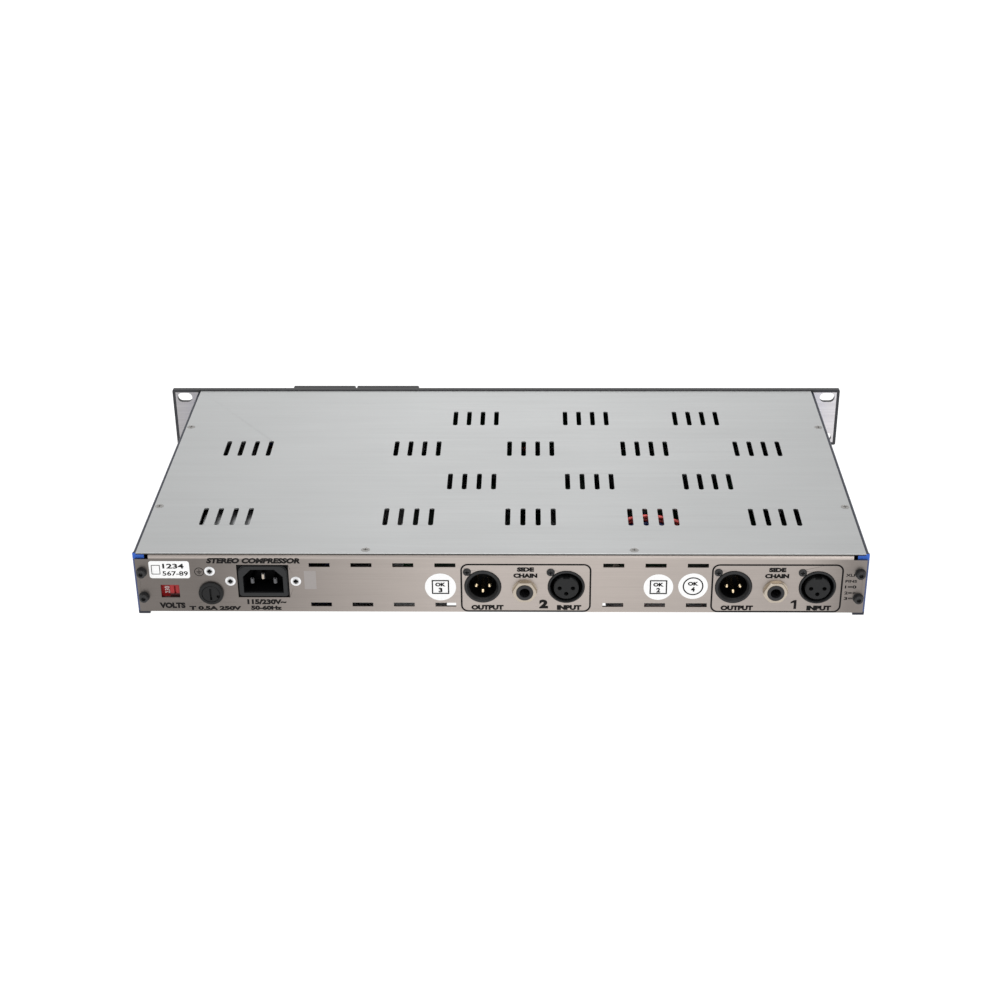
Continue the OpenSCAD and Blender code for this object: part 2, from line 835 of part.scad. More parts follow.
module pot_nuts() {
    color([0.75, 0.75, 0.76]) for (x = knob_x) difference() {
        hex_y([x, 0], -panel_t - 2, -panel_t, 5.6);
        rod_y([x, 0], -panel_t - 3, 0, bushing_r + 0.05);
    }
}

// A fluted knob pressed on its shaft, with a pointer groove at the top
module knob(x) {
    foot = -panel_t - knob_gap;
    face = -panel_t - knob_h;
    skirt_r = knob_d / 2;
    grip_r = skirt_r - 2;
    flutes = 18;
    color([0.1, 0.1, 0.11]) difference() {
        union() {
            rod_y([x, 0], foot - 1.4, foot, skirt_r);
            cone_y([x, 0], foot - 2.6, foot - 1.4, grip_r, skirt_r);
            rod_y([x, 0], face + 0.8, foot - 2.6, grip_r);
            cone_y([x, 0], face, face + 0.8, grip_r - 0.8, grip_r);
        }
        for (i = [0 : flutes - 1]) {
            a = i * 360 / flutes;
            rod_y([x, 0] + (grip_r + 0.35) * [sin(a), cos(a)], face - 1, foot - 3.4, 0.75);
        }
        rod_y([x, 0], foot - 3.4, foot + 1, 6.2);
        rod_y([x, 0], face + 2.5, foot, shaft_r + 0.01);
        slab_y(face - 1, face + 0.5) rect([x, grip_r - 2.2], [0.9, 4.6]);
    }
    color([0.75, 0.75, 0.76]) rod_y([x, 0], face + 2.6, board_y - 3.4, shaft_r);
}

module threshold_knob() {
    knob(knob_x[0]);
}

module attack_knob() {
    knob(knob_x[1]);
}

module ratio_knob() {
    knob(knob_x[2]);
}

module release_knob() {
    knob(knob_x[3]);
}

module link_knob() {
    knob(knob_x[4]);
}

module gain_knob() {
    knob(knob_x[5]);
}

// A push button: a cap through the panel and a plunger into its switch
module button(at) {
    cap_front = -panel_t - 3.5;
    color([0.85, 0.85, 0.82]) {
        slab_y(cap_front + 0.4, -0.4) round_rect(at, [button_w, button_h], 0.7);
        slab_y(cap_front, cap_front + 0.4) round_rect(at, [button_w - 0.8, button_h - 0.8], 0.5);
        slab_y(-0.4, 7) rect(at, [3.2, 3.2]);
    }
}

module tilt_button() {
    button([button_x[0], button_z]);
}

module type_button() {
    button([button_x[0], -button_z]);
}

module bypass_button() {
    button([button_x[1], button_z]);
}

module meter_button() {
    button([button_x[1], -button_z]);
}

module button_switches() {
    color([0.15, 0.15, 0.17]) for (x = button_x, s = [-1, 1]) difference() {
        slab_y(4, board_y) rect([x, s * button_z], [8, 8]);
        slab_y(3, board_y - 1.5) rect([x, s * button_z], [3.8, 3.8]);
    }
}

// A round lamp whose dome stands just proud of the panel
module lamp(at, back) {
    dome_r = 1.5;
    rod_y(at, -panel_t - 0.4, back, dome_r);
    translate([at[0], -panel_t - 0.4, at[1]]) sphere(dome_r);
}

module indicator_lights() {
    color([0.85, 0.3, 0.15]) {
        for (x = button_x, s = [-1, 1]) lamp([x, s * light_z], board_y);
        lamp(toggle_light_at, 4);
    }
}

module power_switch_body() {
    neck_front = -panel_t - 4.5;
    color([0.3, 0.3, 0.32]) difference() {
        union() {
            slab_y(0.1, 16) rect(toggle_at, [13, 15]);
            rod_y(toggle_at, neck_front, 0.1, 5);
            hex_y(toggle_at, -panel_t - 2.2, -panel_t, 7.2);
        }
        rod_y(toggle_at, neck_front - 1, 3.5, toggle_ball_r + 0.3);
        slab_y(3.4, 12) rect(toggle_at, [5, 9]);
    }
}

// The lever at rest tilts down, the off position
module power_toggle() {
    color([0.82, 0.82, 0.83]) translate([toggle_at[0], 0, toggle_at[1]]) rotate([toggle_tilt, 0, 0]) {
        sphere(toggle_ball_r);
        rotate([0, 90, 0]) cylinder(h = 2 * toggle_ball_r + 0.3, r = 0.9, center = true);
        cone_y([0, 0], -10, 0, 1.1, 1.1);
        cone_y([0, 0], -17, -10, 2.3, 1.1);
        translate([0, -17, 0]) sphere(2.3);
        rod_y([0, 0], 0, 8, 1.1);
    }
}

// ---- Meters ----

module both_meters() {
    for (m = [-0.5, 0.5]) translate([meter_mid_x + m * meter_step, 0, 0]) children();
}

module meter_cases() {
    front = -panel_t - meter_out;
    inner = meter_body - 2 * [meter_wall, meter_wall];
    color([0.09, 0.09, 0.1]) both_meters() difference() {
        union() {
            slab_y(front + 1.2, -panel_t) round_rect([0, 0], [meter_w, meter_h], 1.2);
            slab_y(front, front + 1.2) round_rect([0, 0], [meter_w - 1.6, meter_h - 1.6], 1);
            slab_y(-panel_t, meter_back) rect([0, 0], meter_body);
        }
        slab_y(front + 2.2, meter_back - meter_wall) rect([0, 0], inner);
        slab_y(front - 1, front + 3) rect(meter_view_at, meter_view);
    }
}

module meter_lenses() {
    front = -panel_t - meter_out;
    color([0.85, 0.9, 0.92, 0.35]) both_meters() {
        slab_y(front + 0.5, front + 2) rect(meter_view_at, meter_view - [0.1, 0.1]);
    }
}

module meter_dials() {
    color([0.93, 0.88, 0.7]) both_meters() difference() {
        slab_y(-4.4, -3.8) rect([0, 0], meter_body - 2 * [meter_wall, meter_wall] - [0.2, 0.2]);
        rod_y([0, needle_z], -5, -3, 1.6);
    }
}

// The pointer, its hub and the coil that turns with it
module needle(x) {
    color([0.08, 0.08, 0.08]) translate([x, 0, needle_z]) rotate([0, needle_rest, 0]) {
        rod_y([0, 0], -7.2, 10, 0.9);
        rod_y([0, 0], -7.2, -6, 1.8);
        block([-0.25, -6.8, -5], [0.25, -6.3, needle_l]);
        block([-4, 0, -4], [4, 8, 4]);
    }
}

module left_needle() {
    needle(meter_mid_x - meter_step / 2);
}

module right_needle() {
    needle(meter_mid_x + meter_step / 2);
}

// ---- Wires ----

// A point on a smooth curve through four points, between the middle two
function curve_point(a, b, c, d, t) = 0.5 * (
    2 * b + (c - a) * t + (2 * a - 5 * b + 4 * c - d) * t * t + (3 * b - a - 3 * c + d) * t * t * t
);

// The smooth path through a list of points
function smooth(p) = [
    for (i = [0 : len(p) - 2], s = [0 : wire_steps - 1])
        curve_point(p[max(i - 1, 0)], p[i], p[i + 1], p[min(i + 2, len(p) - 1)], s / wire_steps),
    p[len(p) - 1]
];

function unit(v) = v / norm(v);

// The ring of points round one place on a path
function wire_ring(path, i) =
    let (
        ahead = unit(path[min(i + 1, len(path) - 1)] - path[max(i - 1, 0)]),
        side = unit(cross(ahead, [0.05, 0.1, 1])),
        up = cross(side, ahead)
    )
    [
        for (k = [0 : wire_sides - 1])
            let (a = k * 360 / wire_sides) path[i] + wire_r * (cos(a) * side + sin(a) * up)
    ];

// A round wire along a list of points
module wire(points) {
    path = smooth(points);
    n = len(path);
    rings = [for (i = [0 : n - 1]) each wire_ring(path, i)];
    walls = [
        for (i = [0 : n - 2], k = [0 : wire_sides - 1])
            [
                i * wire_sides + k, i * wire_sides + (k + 1) % wire_sides,
                (i + 1) * wire_sides + (k + 1) % wire_sides, (i + 1) * wire_sides + k
            ]
    ];
    start = [for (k = [wire_sides - 1 : -1 : 0]) k];
    end = [for (k = [0 : wire_sides - 1]) (n - 1) * wire_sides + k];
    polyhedron(points = rings, faces = concat(walls, [start, end]));
}

// Three wires, one above another, from the inlet's tabs round the transformer to the power switch
module mains_wires() {
    color([0.75, 0.6, 0.2]) for (i = [-1 : 1]) {
        rise = i * mains_wire_step;
        wire([
            [inlet_at[0] + 7 * i, 205.6, 1], [143, 194, -5 + rise], [143, 172, -5 + rise],
            [132, 150, -5 + rise], [126, 120, -5 + rise], [126, 78, -5 + rise], [138, 48, -5 + rise],
            [170, 34, -4 + rise], [187, 26, -2 + rise], [190, 16.4, -2 + rise]
        ]);
    }
}

// Four wires, one above another, between the two channels' sockets
module signal_wires() {
    color([0.3, 0.3, 0.75]) for (i = [0 : 3]) {
        rise = i * signal_wire_step;
        wire([
            [-142, 211.6, -4 + rise], [-139, 204, -2 + rise], [-124, 195, 4 + rise],
            [-108, 187, 8.5 + rise], [-88, 184, 9.5 + rise], [-66, 191, 5 + rise],
            [-46, 203, -2 + rise], [-42, 211.6, -4 + rise]
        ]);
    }
}

front_panel();
left_rail();
right_rail();
top_cover();
bottom_plate();
rear_panel();
cover_screws();
front_screws();
rear_panel_screws();
rear_panel_washers();
inlet_body();
inlet_blades();
mains_screws();
fuse_holder();
fuse_carrier();
fuse_link();
fuse_cap();
selector_housing();
selector_slider();
output_xlr_shells();
output_xlr_pins();
input_xlr_shells();
input_xlr_inserts();
xlr_screws();
sidechain_jacks();
jack_nuts();
mains_transformer();
transformer_clamp();
power_board();
heatsink();
capacitors();
main_board();
board_standoffs();
gain_modules();
audio_transformers();
board_chips();
control_board();
potentiometers();
pot_nuts();
button_switches();
indicator_lights();
power_switch_body();
power_toggle();
meter_cases();
meter_lenses();
meter_dials();
left_needle();
right_needle();
threshold_knob();
attack_knob();
ratio_knob();
release_knob();
link_knob();
gain_knob();
tilt_button();
type_button();
bypass_button();
meter_button();
mains_wires();
signal_wires();
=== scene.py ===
"""The looks of a two-channel rack compressor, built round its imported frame.

+X is to the right seen from the front, +Y runs to the rear panel, +Z is up, all in metres.
Sizes that are easier to read in millimetres are written as a number times MM.
"""
import json
import math

import bmesh
import bpy
from mathutils import Matrix, Vector


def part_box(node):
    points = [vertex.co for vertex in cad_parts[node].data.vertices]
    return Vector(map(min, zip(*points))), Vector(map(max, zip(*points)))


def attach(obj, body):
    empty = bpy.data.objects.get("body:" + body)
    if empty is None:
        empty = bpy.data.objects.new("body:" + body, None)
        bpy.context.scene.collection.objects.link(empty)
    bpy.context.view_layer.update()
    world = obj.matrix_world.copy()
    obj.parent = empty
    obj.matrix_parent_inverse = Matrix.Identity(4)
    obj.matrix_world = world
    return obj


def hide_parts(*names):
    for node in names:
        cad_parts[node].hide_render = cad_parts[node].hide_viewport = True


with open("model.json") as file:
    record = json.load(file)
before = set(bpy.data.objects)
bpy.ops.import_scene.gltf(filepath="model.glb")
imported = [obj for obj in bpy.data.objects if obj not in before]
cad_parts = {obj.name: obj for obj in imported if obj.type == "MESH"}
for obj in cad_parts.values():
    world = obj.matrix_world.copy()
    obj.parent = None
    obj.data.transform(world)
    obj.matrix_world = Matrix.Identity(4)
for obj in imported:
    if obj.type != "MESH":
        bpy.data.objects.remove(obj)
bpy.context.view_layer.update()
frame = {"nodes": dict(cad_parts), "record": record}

MM = 0.001
CASE = "case"


# ---------------------------------------------------------------- measures taken from the frame

def middle(node):
    """The middle of a CAD node's box."""
    low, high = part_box(node)
    return (low + high) / 2


REAR_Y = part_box("rear_panel")[1].y
REAR_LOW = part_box("rear_panel")[0].z
FRONT_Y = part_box("front_panel")[0].y
PANEL_HALF_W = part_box("front_panel")[1].x
PANEL_HALF_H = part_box("front_panel")[1].z
COVER_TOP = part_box("top_cover")[1].z
FLOOR_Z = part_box("left_rail")[0].z
CASE_HALF_W = max(abs(corner.x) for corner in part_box("left_rail"))
KNOBS = ("threshold", "attack", "ratio", "release", "link", "gain")
BUTTONS = ("tilt", "type", "bypass", "meter")
CHANNEL_PITCH = 152.4 * MM
XLR_SHELL_HALF = 13 * MM
SELECTOR_WINDOW_END = 207.4 * MM
EARTH_SCREW = (176.5 * MM, 8.1 * MM)
INLET_SCREW_REACH = 20 * MM
METER_REACH = 23.1 * MM


# ---------------------------------------------------------------- material kit

NOISE_ROUGHNESS = 0.55
MACHINED_DEPTH = 0.012 * MM
INK_DEPTH = 0.01 * MM


class Shader:
    """A Principled material with helpers for its nodes. Coordinates are the object's own, in metres."""

    def __init__(self, name, color, rough, metal=0.0):
        self.mat = bpy.data.materials.new(name)
        self.mat.use_nodes = True
        self.tree = self.mat.node_tree
        self.bsdf = self.tree.nodes["Principled BSDF"]
        self.bsdf.inputs["Base Color"].default_value = (*color, 1)
        self.bsdf.inputs["Roughness"].default_value = rough
        self.bsdf.inputs["Metallic"].default_value = metal
        self.color = color
        self.coord = self.tree.nodes.new("ShaderNodeTexCoord").outputs["Object"]

    def set(self, **values):
        """Sets sockets by name, with _ for a space."""
        for key, value in values.items():
            self.bsdf.inputs[key.replace("_", " ")].default_value = value

    def node(self, kind, **props):
        made = self.tree.nodes.new("ShaderNode" + kind)
        for key, value in props.items():
            setattr(made, key, value)
        return made

    def link(self, out, into):
        self.tree.links.new(out, into)

    def math(self, op, a, b=None):
        made = self.node("Math", operation=op)
        for i, value in enumerate((a, b)):
            if value is None:
                continue
            if isinstance(value, (int, float)):
                made.inputs[i].default_value = value
            else:
                self.link(value, made.inputs[i])
        return made.outputs[0]

    def axes(self):
        """The three coordinates, one socket each."""
        split = self.node("SeparateXYZ")
        self.link(self.coord, split.inputs[0])
        return split.outputs

    def noise(self, scale, stretch=(1, 1, 1), detail=3.0):
        """A noise between 0 and 1 with so many features a metre, stretched along each axis."""
        place = self.node("Mapping")
        place.inputs["Scale"].default_value = stretch
        self.link(self.coord, place.inputs["Vector"])
        made = self.node("TexNoise")
        made.inputs["Scale"].default_value = scale
        made.inputs["Detail"].default_value = detail
        made.inputs["Roughness"].default_value = NOISE_ROUGHNESS
        self.link(place.outputs[0], made.inputs["Vector"])
        return made.outputs[0]

    def span(self, value, low, high, to_low, to_high):
        """Maps a value from one range to another, held at its ends."""
        made = self.node("MapRange")
        for i, number in enumerate((low, high, to_low, to_high), 1):
            made.inputs[i].default_value = number
        self.link(value, made.inputs[0])
        return made.outputs[0]

    def mix(self, factor, a, b):
        """A colour between two others. Each may be a tuple or a socket.

        The node's inputs 0, 6 and 7 are its factor and its two colours.
        """
        made = self.node("Mix", data_type="RGBA")
        for socket, value in ((made.inputs[0], factor), (made.inputs[6], a), (made.inputs[7], b)):
            if isinstance(value, tuple):
                socket.default_value = (*value, 1)
            elif isinstance(value, (int, float)):
                socket.default_value = value
            else:
                self.link(value, socket)
        return made.outputs[2]

    def vary(self, factor, amount):
        """Base colour that moves up and down with a 0 to 1 factor, by a share of itself."""
        low = tuple(c * (1 - amount) for c in self.color)
        high = tuple(min(1.0, c * (1 + amount)) for c in self.color)
        out = self.mix(factor, low, high)
        self.link(out, self.bsdf.inputs["Base Color"])
        return out

    def paint(self, color):
        self.link(color, self.bsdf.inputs["Base Color"])

    def roughen(self, factor, low, high):
        self.link(self.span(factor, 0.25, 0.75, low, high), self.bsdf.inputs["Roughness"])

    def times(self, color, factor):
        """A colour made brighter or darker by a factor."""
        scale = self.node("VectorMath", operation="SCALE")
        self.link(color, scale.inputs[0])
        self.link(factor, scale.inputs["Scale"])
        return scale.outputs[0]

    def bump(self, height, depth, strength=1.0):
        """Bump from a height between 0 and 1; depth is its size in metres."""
        made = self.node("Bump")
        made.inputs["Strength"].default_value = strength
        made.inputs["Distance"].default_value = depth
        self.link(height, made.inputs["Height"])
        self.link(made.outputs[0], self.bsdf.inputs["Normal"])


def band(shader, value, low, high):
    """1 where low < value < high, else 0."""
    over = shader.math("GREATER_THAN", value, low)
    under = shader.math("LESS_THAN", value, high)
    return shader.math("MULTIPLY", over, under)


def grain(shader, along, fine=1500.0, coarse=260.0):
    """Brushed streaks that run along one axis: 0 is X, 1 is Y, 2 is Z."""
    stretch = [1.0, 1.0, 1.0]
    stretch[along] = 0.012
    thin = shader.noise(fine, tuple(stretch), 2.0)
    wide = shader.noise(coarse, tuple(stretch), 3.0)
    return shader.math("ADD", shader.math("MULTIPLY", thin, 0.6), shader.math("MULTIPLY", wide, 0.4))


# ---------------------------------------------------------------- materials

def brushed(name, color, rough, contrast):
    """Sheet metal brushed along X, with long faint streaks and a little clouding.

    Gives the shader and its varied colour, so that a maker can go on from them.
    """
    s = Shader(name, color, rough, 1.0)
    streaks = grain(s, 0)
    cloud = s.noise(26.0, (0.35, 1, 1), 4.0)
    both = s.math("ADD", s.math("MULTIPLY", streaks, 0.7), s.math("MULTIPLY", cloud, 0.3))
    shade = s.vary(s.span(both, 0.3, 0.7, 0.0, 1.0), contrast)
    s.roughen(streaks, rough - 0.06, rough + 0.08)
    s.bump(streaks, MACHINED_DEPTH, 0.5)
    return s, shade


def make_cover_metal():
    """Brushed aluminium with painted shade: a little darker towards the sides and the rear, and a painted
    shadow line along the lower rear edge.
    """
    s, shade = brushed("brushed_aluminium", (0.655, 0.665, 0.665), 0.42, 0.07)
    x, y, z = s.axes()
    # painted shade: darker towards the sides and towards the rear
    sides = s.span(s.math("ABSOLUTE", x), 60 * MM, 215 * MM, 1.0, 0.845)
    rearward = s.span(y, 0.0, REAR_Y, 1.0, 0.88)
    shade = s.times(shade, s.math("MULTIPLY", sides, rearward))
    # painted shadow: a near-black line on the lower part of the rear edge
    painted_shadow_line = s.math("MULTIPLY", s.math("GREATER_THAN", y, REAR_Y + 0.3 * MM),
                 s.math("LESS_THAN", z, COVER_TOP - 0.4 * MM))
    s.paint(s.mix(painted_shadow_line, shade, (0.05, 0.048, 0.046)))
    return s.mat


def make_rear_metal():
    """Warm grey, with painted light and shade: brightest near the middle of the panel and darker towards
    both ends, with a painted highlight along the folded top edge.
    """
    s, shade = brushed("brushed_steel", (0.50, 0.446, 0.412), 0.40, 0.10)
    x, _, z = s.axes()
    # painted shade: the flat face darkens towards both ends of the panel
    mains_end = s.span(x, 30 * MM, 185 * MM, 0.89, 0.33)
    far_end = s.math("MULTIPLY", s.span(x, -175 * MM, -60 * MM, 0.84, 1.0),
                     s.span(x, -212 * MM, -185 * MM, 0.6, 1.0))
    flat = s.math("MULTIPLY", mains_end, far_end)
    # painted highlight: the folded top edge is lit brighter than the flat face, most at the -X end
    fold_light = s.span(x, -205 * MM, -150 * MM, 1.1, 0.95)
    on_fold = s.span(z, 16.6 * MM, 17.6 * MM, 0.0, 1.0)
    painted_fold_highlight = s.math("MULTIPLY", s.math("SUBTRACT", fold_light, flat), on_fold)
    s.paint(s.times(shade, s.math("ADD", flat, painted_fold_highlight)))
    return s.mat


def make_bare_metal():
    return brushed("bare_aluminium", (0.62, 0.63, 0.64), 0.38, 0.06)[0].mat


def make_front_black():
    """Black front and edges; the back inside a narrow border is bare brushed metal."""
    s = Shader("front_black", (0.018, 0.018, 0.02), 0.42)
    x, y, z = s.axes()
    border = 2.1 * MM
    inside = s.math("MULTIPLY",
                    s.math("LESS_THAN", s.math("ABSOLUTE", x), PANEL_HALF_W - border),
                    s.math("LESS_THAN", s.math("ABSOLUTE", z), PANEL_HALF_H - border))
    back = s.math("MULTIPLY", inside, s.math("GREATER_THAN", y, -0.05 * MM))
    streaks = grain(s, 0)
    bare = s.mix(s.span(streaks, 0.3, 0.7, 0.0, 1.0), (0.47, 0.45, 0.45), (0.60, 0.58, 0.575))
    # painted light and shade: the bare back is lighter towards -X and darker towards +X
    bare = s.times(bare, s.span(x, -PANEL_HALF_W, PANEL_HALF_W, 1.26, 0.78))
    speck = s.noise(2400.0, detail=2.0)
    paint = s.mix(speck, (0.014, 0.014, 0.016), (0.026, 0.026, 0.028))
    s.paint(s.mix(back, paint, bare))
    s.link(back, s.bsdf.inputs["Metallic"])
    s.bump(speck, 0.02 * MM, 0.4)
    return s.mat


def make_rail_blue():
    """Blue powder coat, with painted shade: much darker along the bends and the flanges' edges, and duller
    on the rear tab's lower part.
    """
    s = Shader("rail_blue", (0.025, 0.11, 0.5), 0.38)
    s.set(Specular_IOR_Level=0.3)
    x, y, z = s.axes()
    peel = s.noise(700.0, detail=2.0)
    blue = s.vary(s.noise(30.0, detail=3.0), 0.12)
    tab = s.math("GREATER_THAN", y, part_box("left_rail")[1].y - 0.1 * MM)
    side = s.math("GREATER_THAN", s.math("ABSOLUTE", x), CASE_HALF_W - 0.05 * MM)
    # painted shade: all but the outer sides and the rear tab above the panel's lower edge are dark navy
    bright = s.math("MAXIMUM", side, s.math("MULTIPLY", tab, s.math("GREATER_THAN", z, REAR_LOW)))
    low_tab = s.math("MULTIPLY", tab, s.math("LESS_THAN", z, 16.0 * MM))
    # painted shade: the rear tab below 16 mm is a duller blue
    coat = s.mix(low_tab, blue, (0.07, 0.10, 0.24))
    s.paint(s.mix(bright, (0.018, 0.021, 0.034), coat))
    s.roughen(peel, 0.32, 0.46)
    s.bump(peel, 0.03 * MM, 0.6)
    return s.mat


def turned(name, color, rough, metal=1.0, **sockets):
    """A small metal piece with fine machining noise."""
    s = Shader(name, color, rough, metal)
    s.set(**sockets)
    fine = s.noise(3000.0, (1, 0.25, 1), 3.0)
    s.vary(fine, 0.12)
    s.roughen(fine, max(0.05, rough - 0.08), rough + 0.1)
    s.bump(fine, MACHINED_DEPTH, 0.5)
    return s.mat


def make_zinc_screw():
    """Bright heads on the rear panel, with painted shade: a darker ring round a dark recess."""
    s = Shader("zinc_screw", (0.80, 0.80, 0.81), 0.26, 1.0)
    fine = s.noise(3000.0, (1, 0.25, 1), 3.0)
    head = s.vary(fine, 0.10)
    x, y, z = s.axes()
    inlet = middle("inlet_body")
    recess_r, ring_r = 1.3 * MM, 2.0 * MM
    off = None
    for at_x, at_z in ((inlet.x - INLET_SCREW_REACH, inlet.z),
                       (inlet.x + INLET_SCREW_REACH, inlet.z), EARTH_SCREW):
        across = s.math("POWER", s.math("SUBTRACT", x, at_x), 2.0)
        up = s.math("POWER", s.math("SUBTRACT", z, at_z), 2.0)
        distance = s.math("SQRT", s.math("ADD", across, up))
        off = distance if off is None else s.math("MINIMUM", off, distance)
    rear = s.math("GREATER_THAN", y, REAR_Y - 3 * MM)
    # painted shade at the inlet and earth screws: a grey ring round a near-black recess
    ring = s.math("MULTIPLY", rear, band(s, off, recess_r, ring_r))
    recess = s.math("MULTIPLY", rear, s.math("LESS_THAN", off, recess_r))
    s.paint(s.mix(recess, s.mix(ring, head, (0.42, 0.42, 0.42)), (0.035, 0.035, 0.035)))
    s.roughen(fine, 0.2, 0.36)
    s.bump(fine, MACHINED_DEPTH, 0.5)
    return s.mat


def make_cover_screw():
    return turned("cover_screw_grey", (0.38, 0.372, 0.36), 0.34)


def make_black_screw():
    return turned("black_screw", (0.016, 0.016, 0.017), 0.4, 0.0, Specular_IOR_Level=0.35)


def make_nickel():
    """Bright plating, with painted shade: dark on the contacts that stand deep in the mains inlet."""
    s = Shader("nickel", (0.46, 0.405, 0.34), 0.2, 1.0)
    fine = s.noise(3000.0, (1, 0.25, 1), 3.0)
    plating = s.vary(fine, 0.12)
    x, y, _ = s.axes()
    inlet = s.math("GREATER_THAN", x, middle("inlet_body").x - 15 * MM)
    deep = s.math("MULTIPLY", inlet, band(s, y, REAR_Y - 18 * MM, REAR_Y - 1.2 * MM))
    # painted shade on the inlet's deep contacts
    s.paint(s.mix(deep, plating, (0.11, 0.11, 0.115)))
    s.roughen(fine, 0.14, 0.3)
    s.bump(fine, MACHINED_DEPTH, 0.5)
    return s.mat


def make_gold():
    return turned("gold_pin", (0.86, 0.70, 0.46), 0.22)


def moulded(name, color, rough, grain_scale=1800.0, depth=0.03, **sockets):
    """Moulded plastic: a fine spark-eroded texture and faint colour clouding."""
    s = Shader(name, color, rough)
    fine = s.noise(grain_scale, detail=4.0)
    s.vary(s.noise(60.0, detail=3.0), 0.14)
    s.roughen(fine, rough - 0.07, rough + 0.08)
    s.bump(fine, depth * MM, 0.6)
    s.set(**sockets)
    return s.mat


def make_shell_black():
    """Matt black sockets, with painted shade: darker and less shiny where they stand behind the panel's
    face.
    """
    s = Shader("shell_black", (0.016, 0.0165, 0.0175), 0.46)
    s.set(Specular_IOR_Level=0.28)
    fine = s.noise(1800.0, detail=4.0)
    face = s.vary(s.noise(60.0, detail=3.0), 0.14)
    inside = s.span(s.axes()[1], REAR_Y - 1.4 * MM, REAR_Y - 0.9 * MM, 1.0, 0.0)
    # painted shade: near black behind the panel's face, with less specular
    s.paint(s.mix(inside, face, (0.0035, 0.0035, 0.004)))
    s.link(s.span(inside, 0.0, 1.0, 0.28, 0.1), s.bsdf.inputs["Specular IOR Level"])
    s.roughen(fine, 0.39, 0.54)
    s.bump(fine, 0.03 * MM, 0.6)
    return s.mat


def make_insert_grey():
    return moulded("insert_grey", (0.014, 0.0142, 0.0148), 0.5, Specular_IOR_Level=0.2)


def make_fuse_black():
    return moulded("fuse_black", (0.009, 0.009, 0.0095), 0.36, Specular_IOR_Level=0.22)


def make_fuse_glass():
    """A glass tube with a metal cap at each end."""
    s = Shader("fuse_glass", (0.92, 0.95, 0.96), 0.05)
    y = s.axes()[1]
    low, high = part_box("fuse_link")
    cap = 5 * MM
    middle_part = band(s, y, low.y + cap, high.y - cap)
    s.paint(s.mix(middle_part, (0.75, 0.75, 0.76), (0.92, 0.95, 0.96)))
    s.link(middle_part, s.bsdf.inputs["Transmission Weight"])
    s.link(s.math("SUBTRACT", 1.0, middle_part), s.bsdf.inputs["Metallic"])
    s.bump(s.noise(2500.0), 0.01 * MM, 0.3)
    return s.mat


def make_selector_red():
    """Red plastic, in shadow low in its window."""
    s = Shader("selector_red", (0.36, 0.02, 0.022), 0.36)
    s.set(Specular_IOR_Level=0.3)
    fine = s.noise(1800.0, detail=4.0)
    red = s.vary(s.noise(60.0, detail=3.0), 0.14)
    middle_z = middle("selector_slider").z
    _, y, z = s.axes()
    low_part = s.span(z, middle_z - 3.0 * MM, middle_z - 2.0 * MM, 1.0, 0.0)
    shade = s.math("MULTIPLY", low_part, s.math("GREATER_THAN", y, REAR_Y - 2.5 * MM))
    s.paint(s.mix(shade, red, (0.035, 0.006, 0.006)))
    s.roughen(fine, 0.3, 0.44)
    s.bump(fine, 0.02 * MM, 0.6)
    return s.mat


def make_transformer_tape():
    """Black tape wound round the ring, in overlapping turns, with a pale label."""
    s = Shader("transformer_tape", (0.03, 0.03, 0.034), 0.42)
    x, y, z = s.axes()
    at = middle("mains_transformer")
    turn = s.math("ARCTAN2", s.math("SUBTRACT", y, at.y), s.math("SUBTRACT", x, at.x))
    turns = 34
    slanted = s.math("ADD", turn, s.math("MULTIPLY", z, 9.0))
    wave = s.math("FRACT", s.math("MULTIPLY", slanted, turns / math.tau))
    tape = s.mix(s.span(wave, 0.0, 0.15, 0.0, 1.0), (0.012, 0.012, 0.013), (0.05, 0.05, 0.055))
    label = s.math("MULTIPLY", band(s, x, 171 * MM, 190 * MM), band(s, y, 77 * MM, 84 * MM))
    on_top = s.math("MULTIPLY", label, s.math("GREATER_THAN", z, 0.0))
    s.paint(s.mix(on_top, tape, (0.8, 0.68, 0.68)))
    s.bump(wave, 0.25 * MM, 0.8)
    return s.mat


def make_board_green():
    """Solder mask over copper tracks, with pads, and painted shade towards the rear edge."""
    s = Shader("board_green", (0.004, 0.025, 0.01), 0.35)
    s.set(Specular_IOR_Level=0.3)
    grid = s.node("TexBrick")
    grid.inputs["Scale"].default_value = 120.0
    grid.inputs["Mortar Size"].default_value = 0.06
    s.link(s.coord, grid.inputs["Vector"])
    dots = s.node("TexVoronoi")
    dots.inputs["Scale"].default_value = 260.0
    dots.inputs["Randomness"].default_value = 0.35
    s.link(s.coord, dots.inputs["Vector"])
    pad = s.math("LESS_THAN", dots.outputs["Distance"], 0.16)
    track = s.mix(grid.outputs["Fac"], (0.003, 0.018, 0.008), (0.005, 0.03, 0.012))
    copper = s.mix(pad, track, (0.10, 0.10, 0.095))
    # painted shade: darker towards the board's rear edge
    edge = s.span(s.axes()[1], 199 * MM, 204 * MM, 0.0, 1.0)
    s.paint(s.mix(edge, copper, (0.012, 0.011, 0.01)))
    s.bump(grid.outputs["Fac"], 0.04 * MM, 0.5)
    return s.mat


def make_can_grey():
    return turned("can_grey", (0.42, 0.43, 0.45), 0.35)


def make_part_black():
    return moulded("part_black", (0.016, 0.016, 0.018), 0.45, Specular_IOR_Level=0.35)


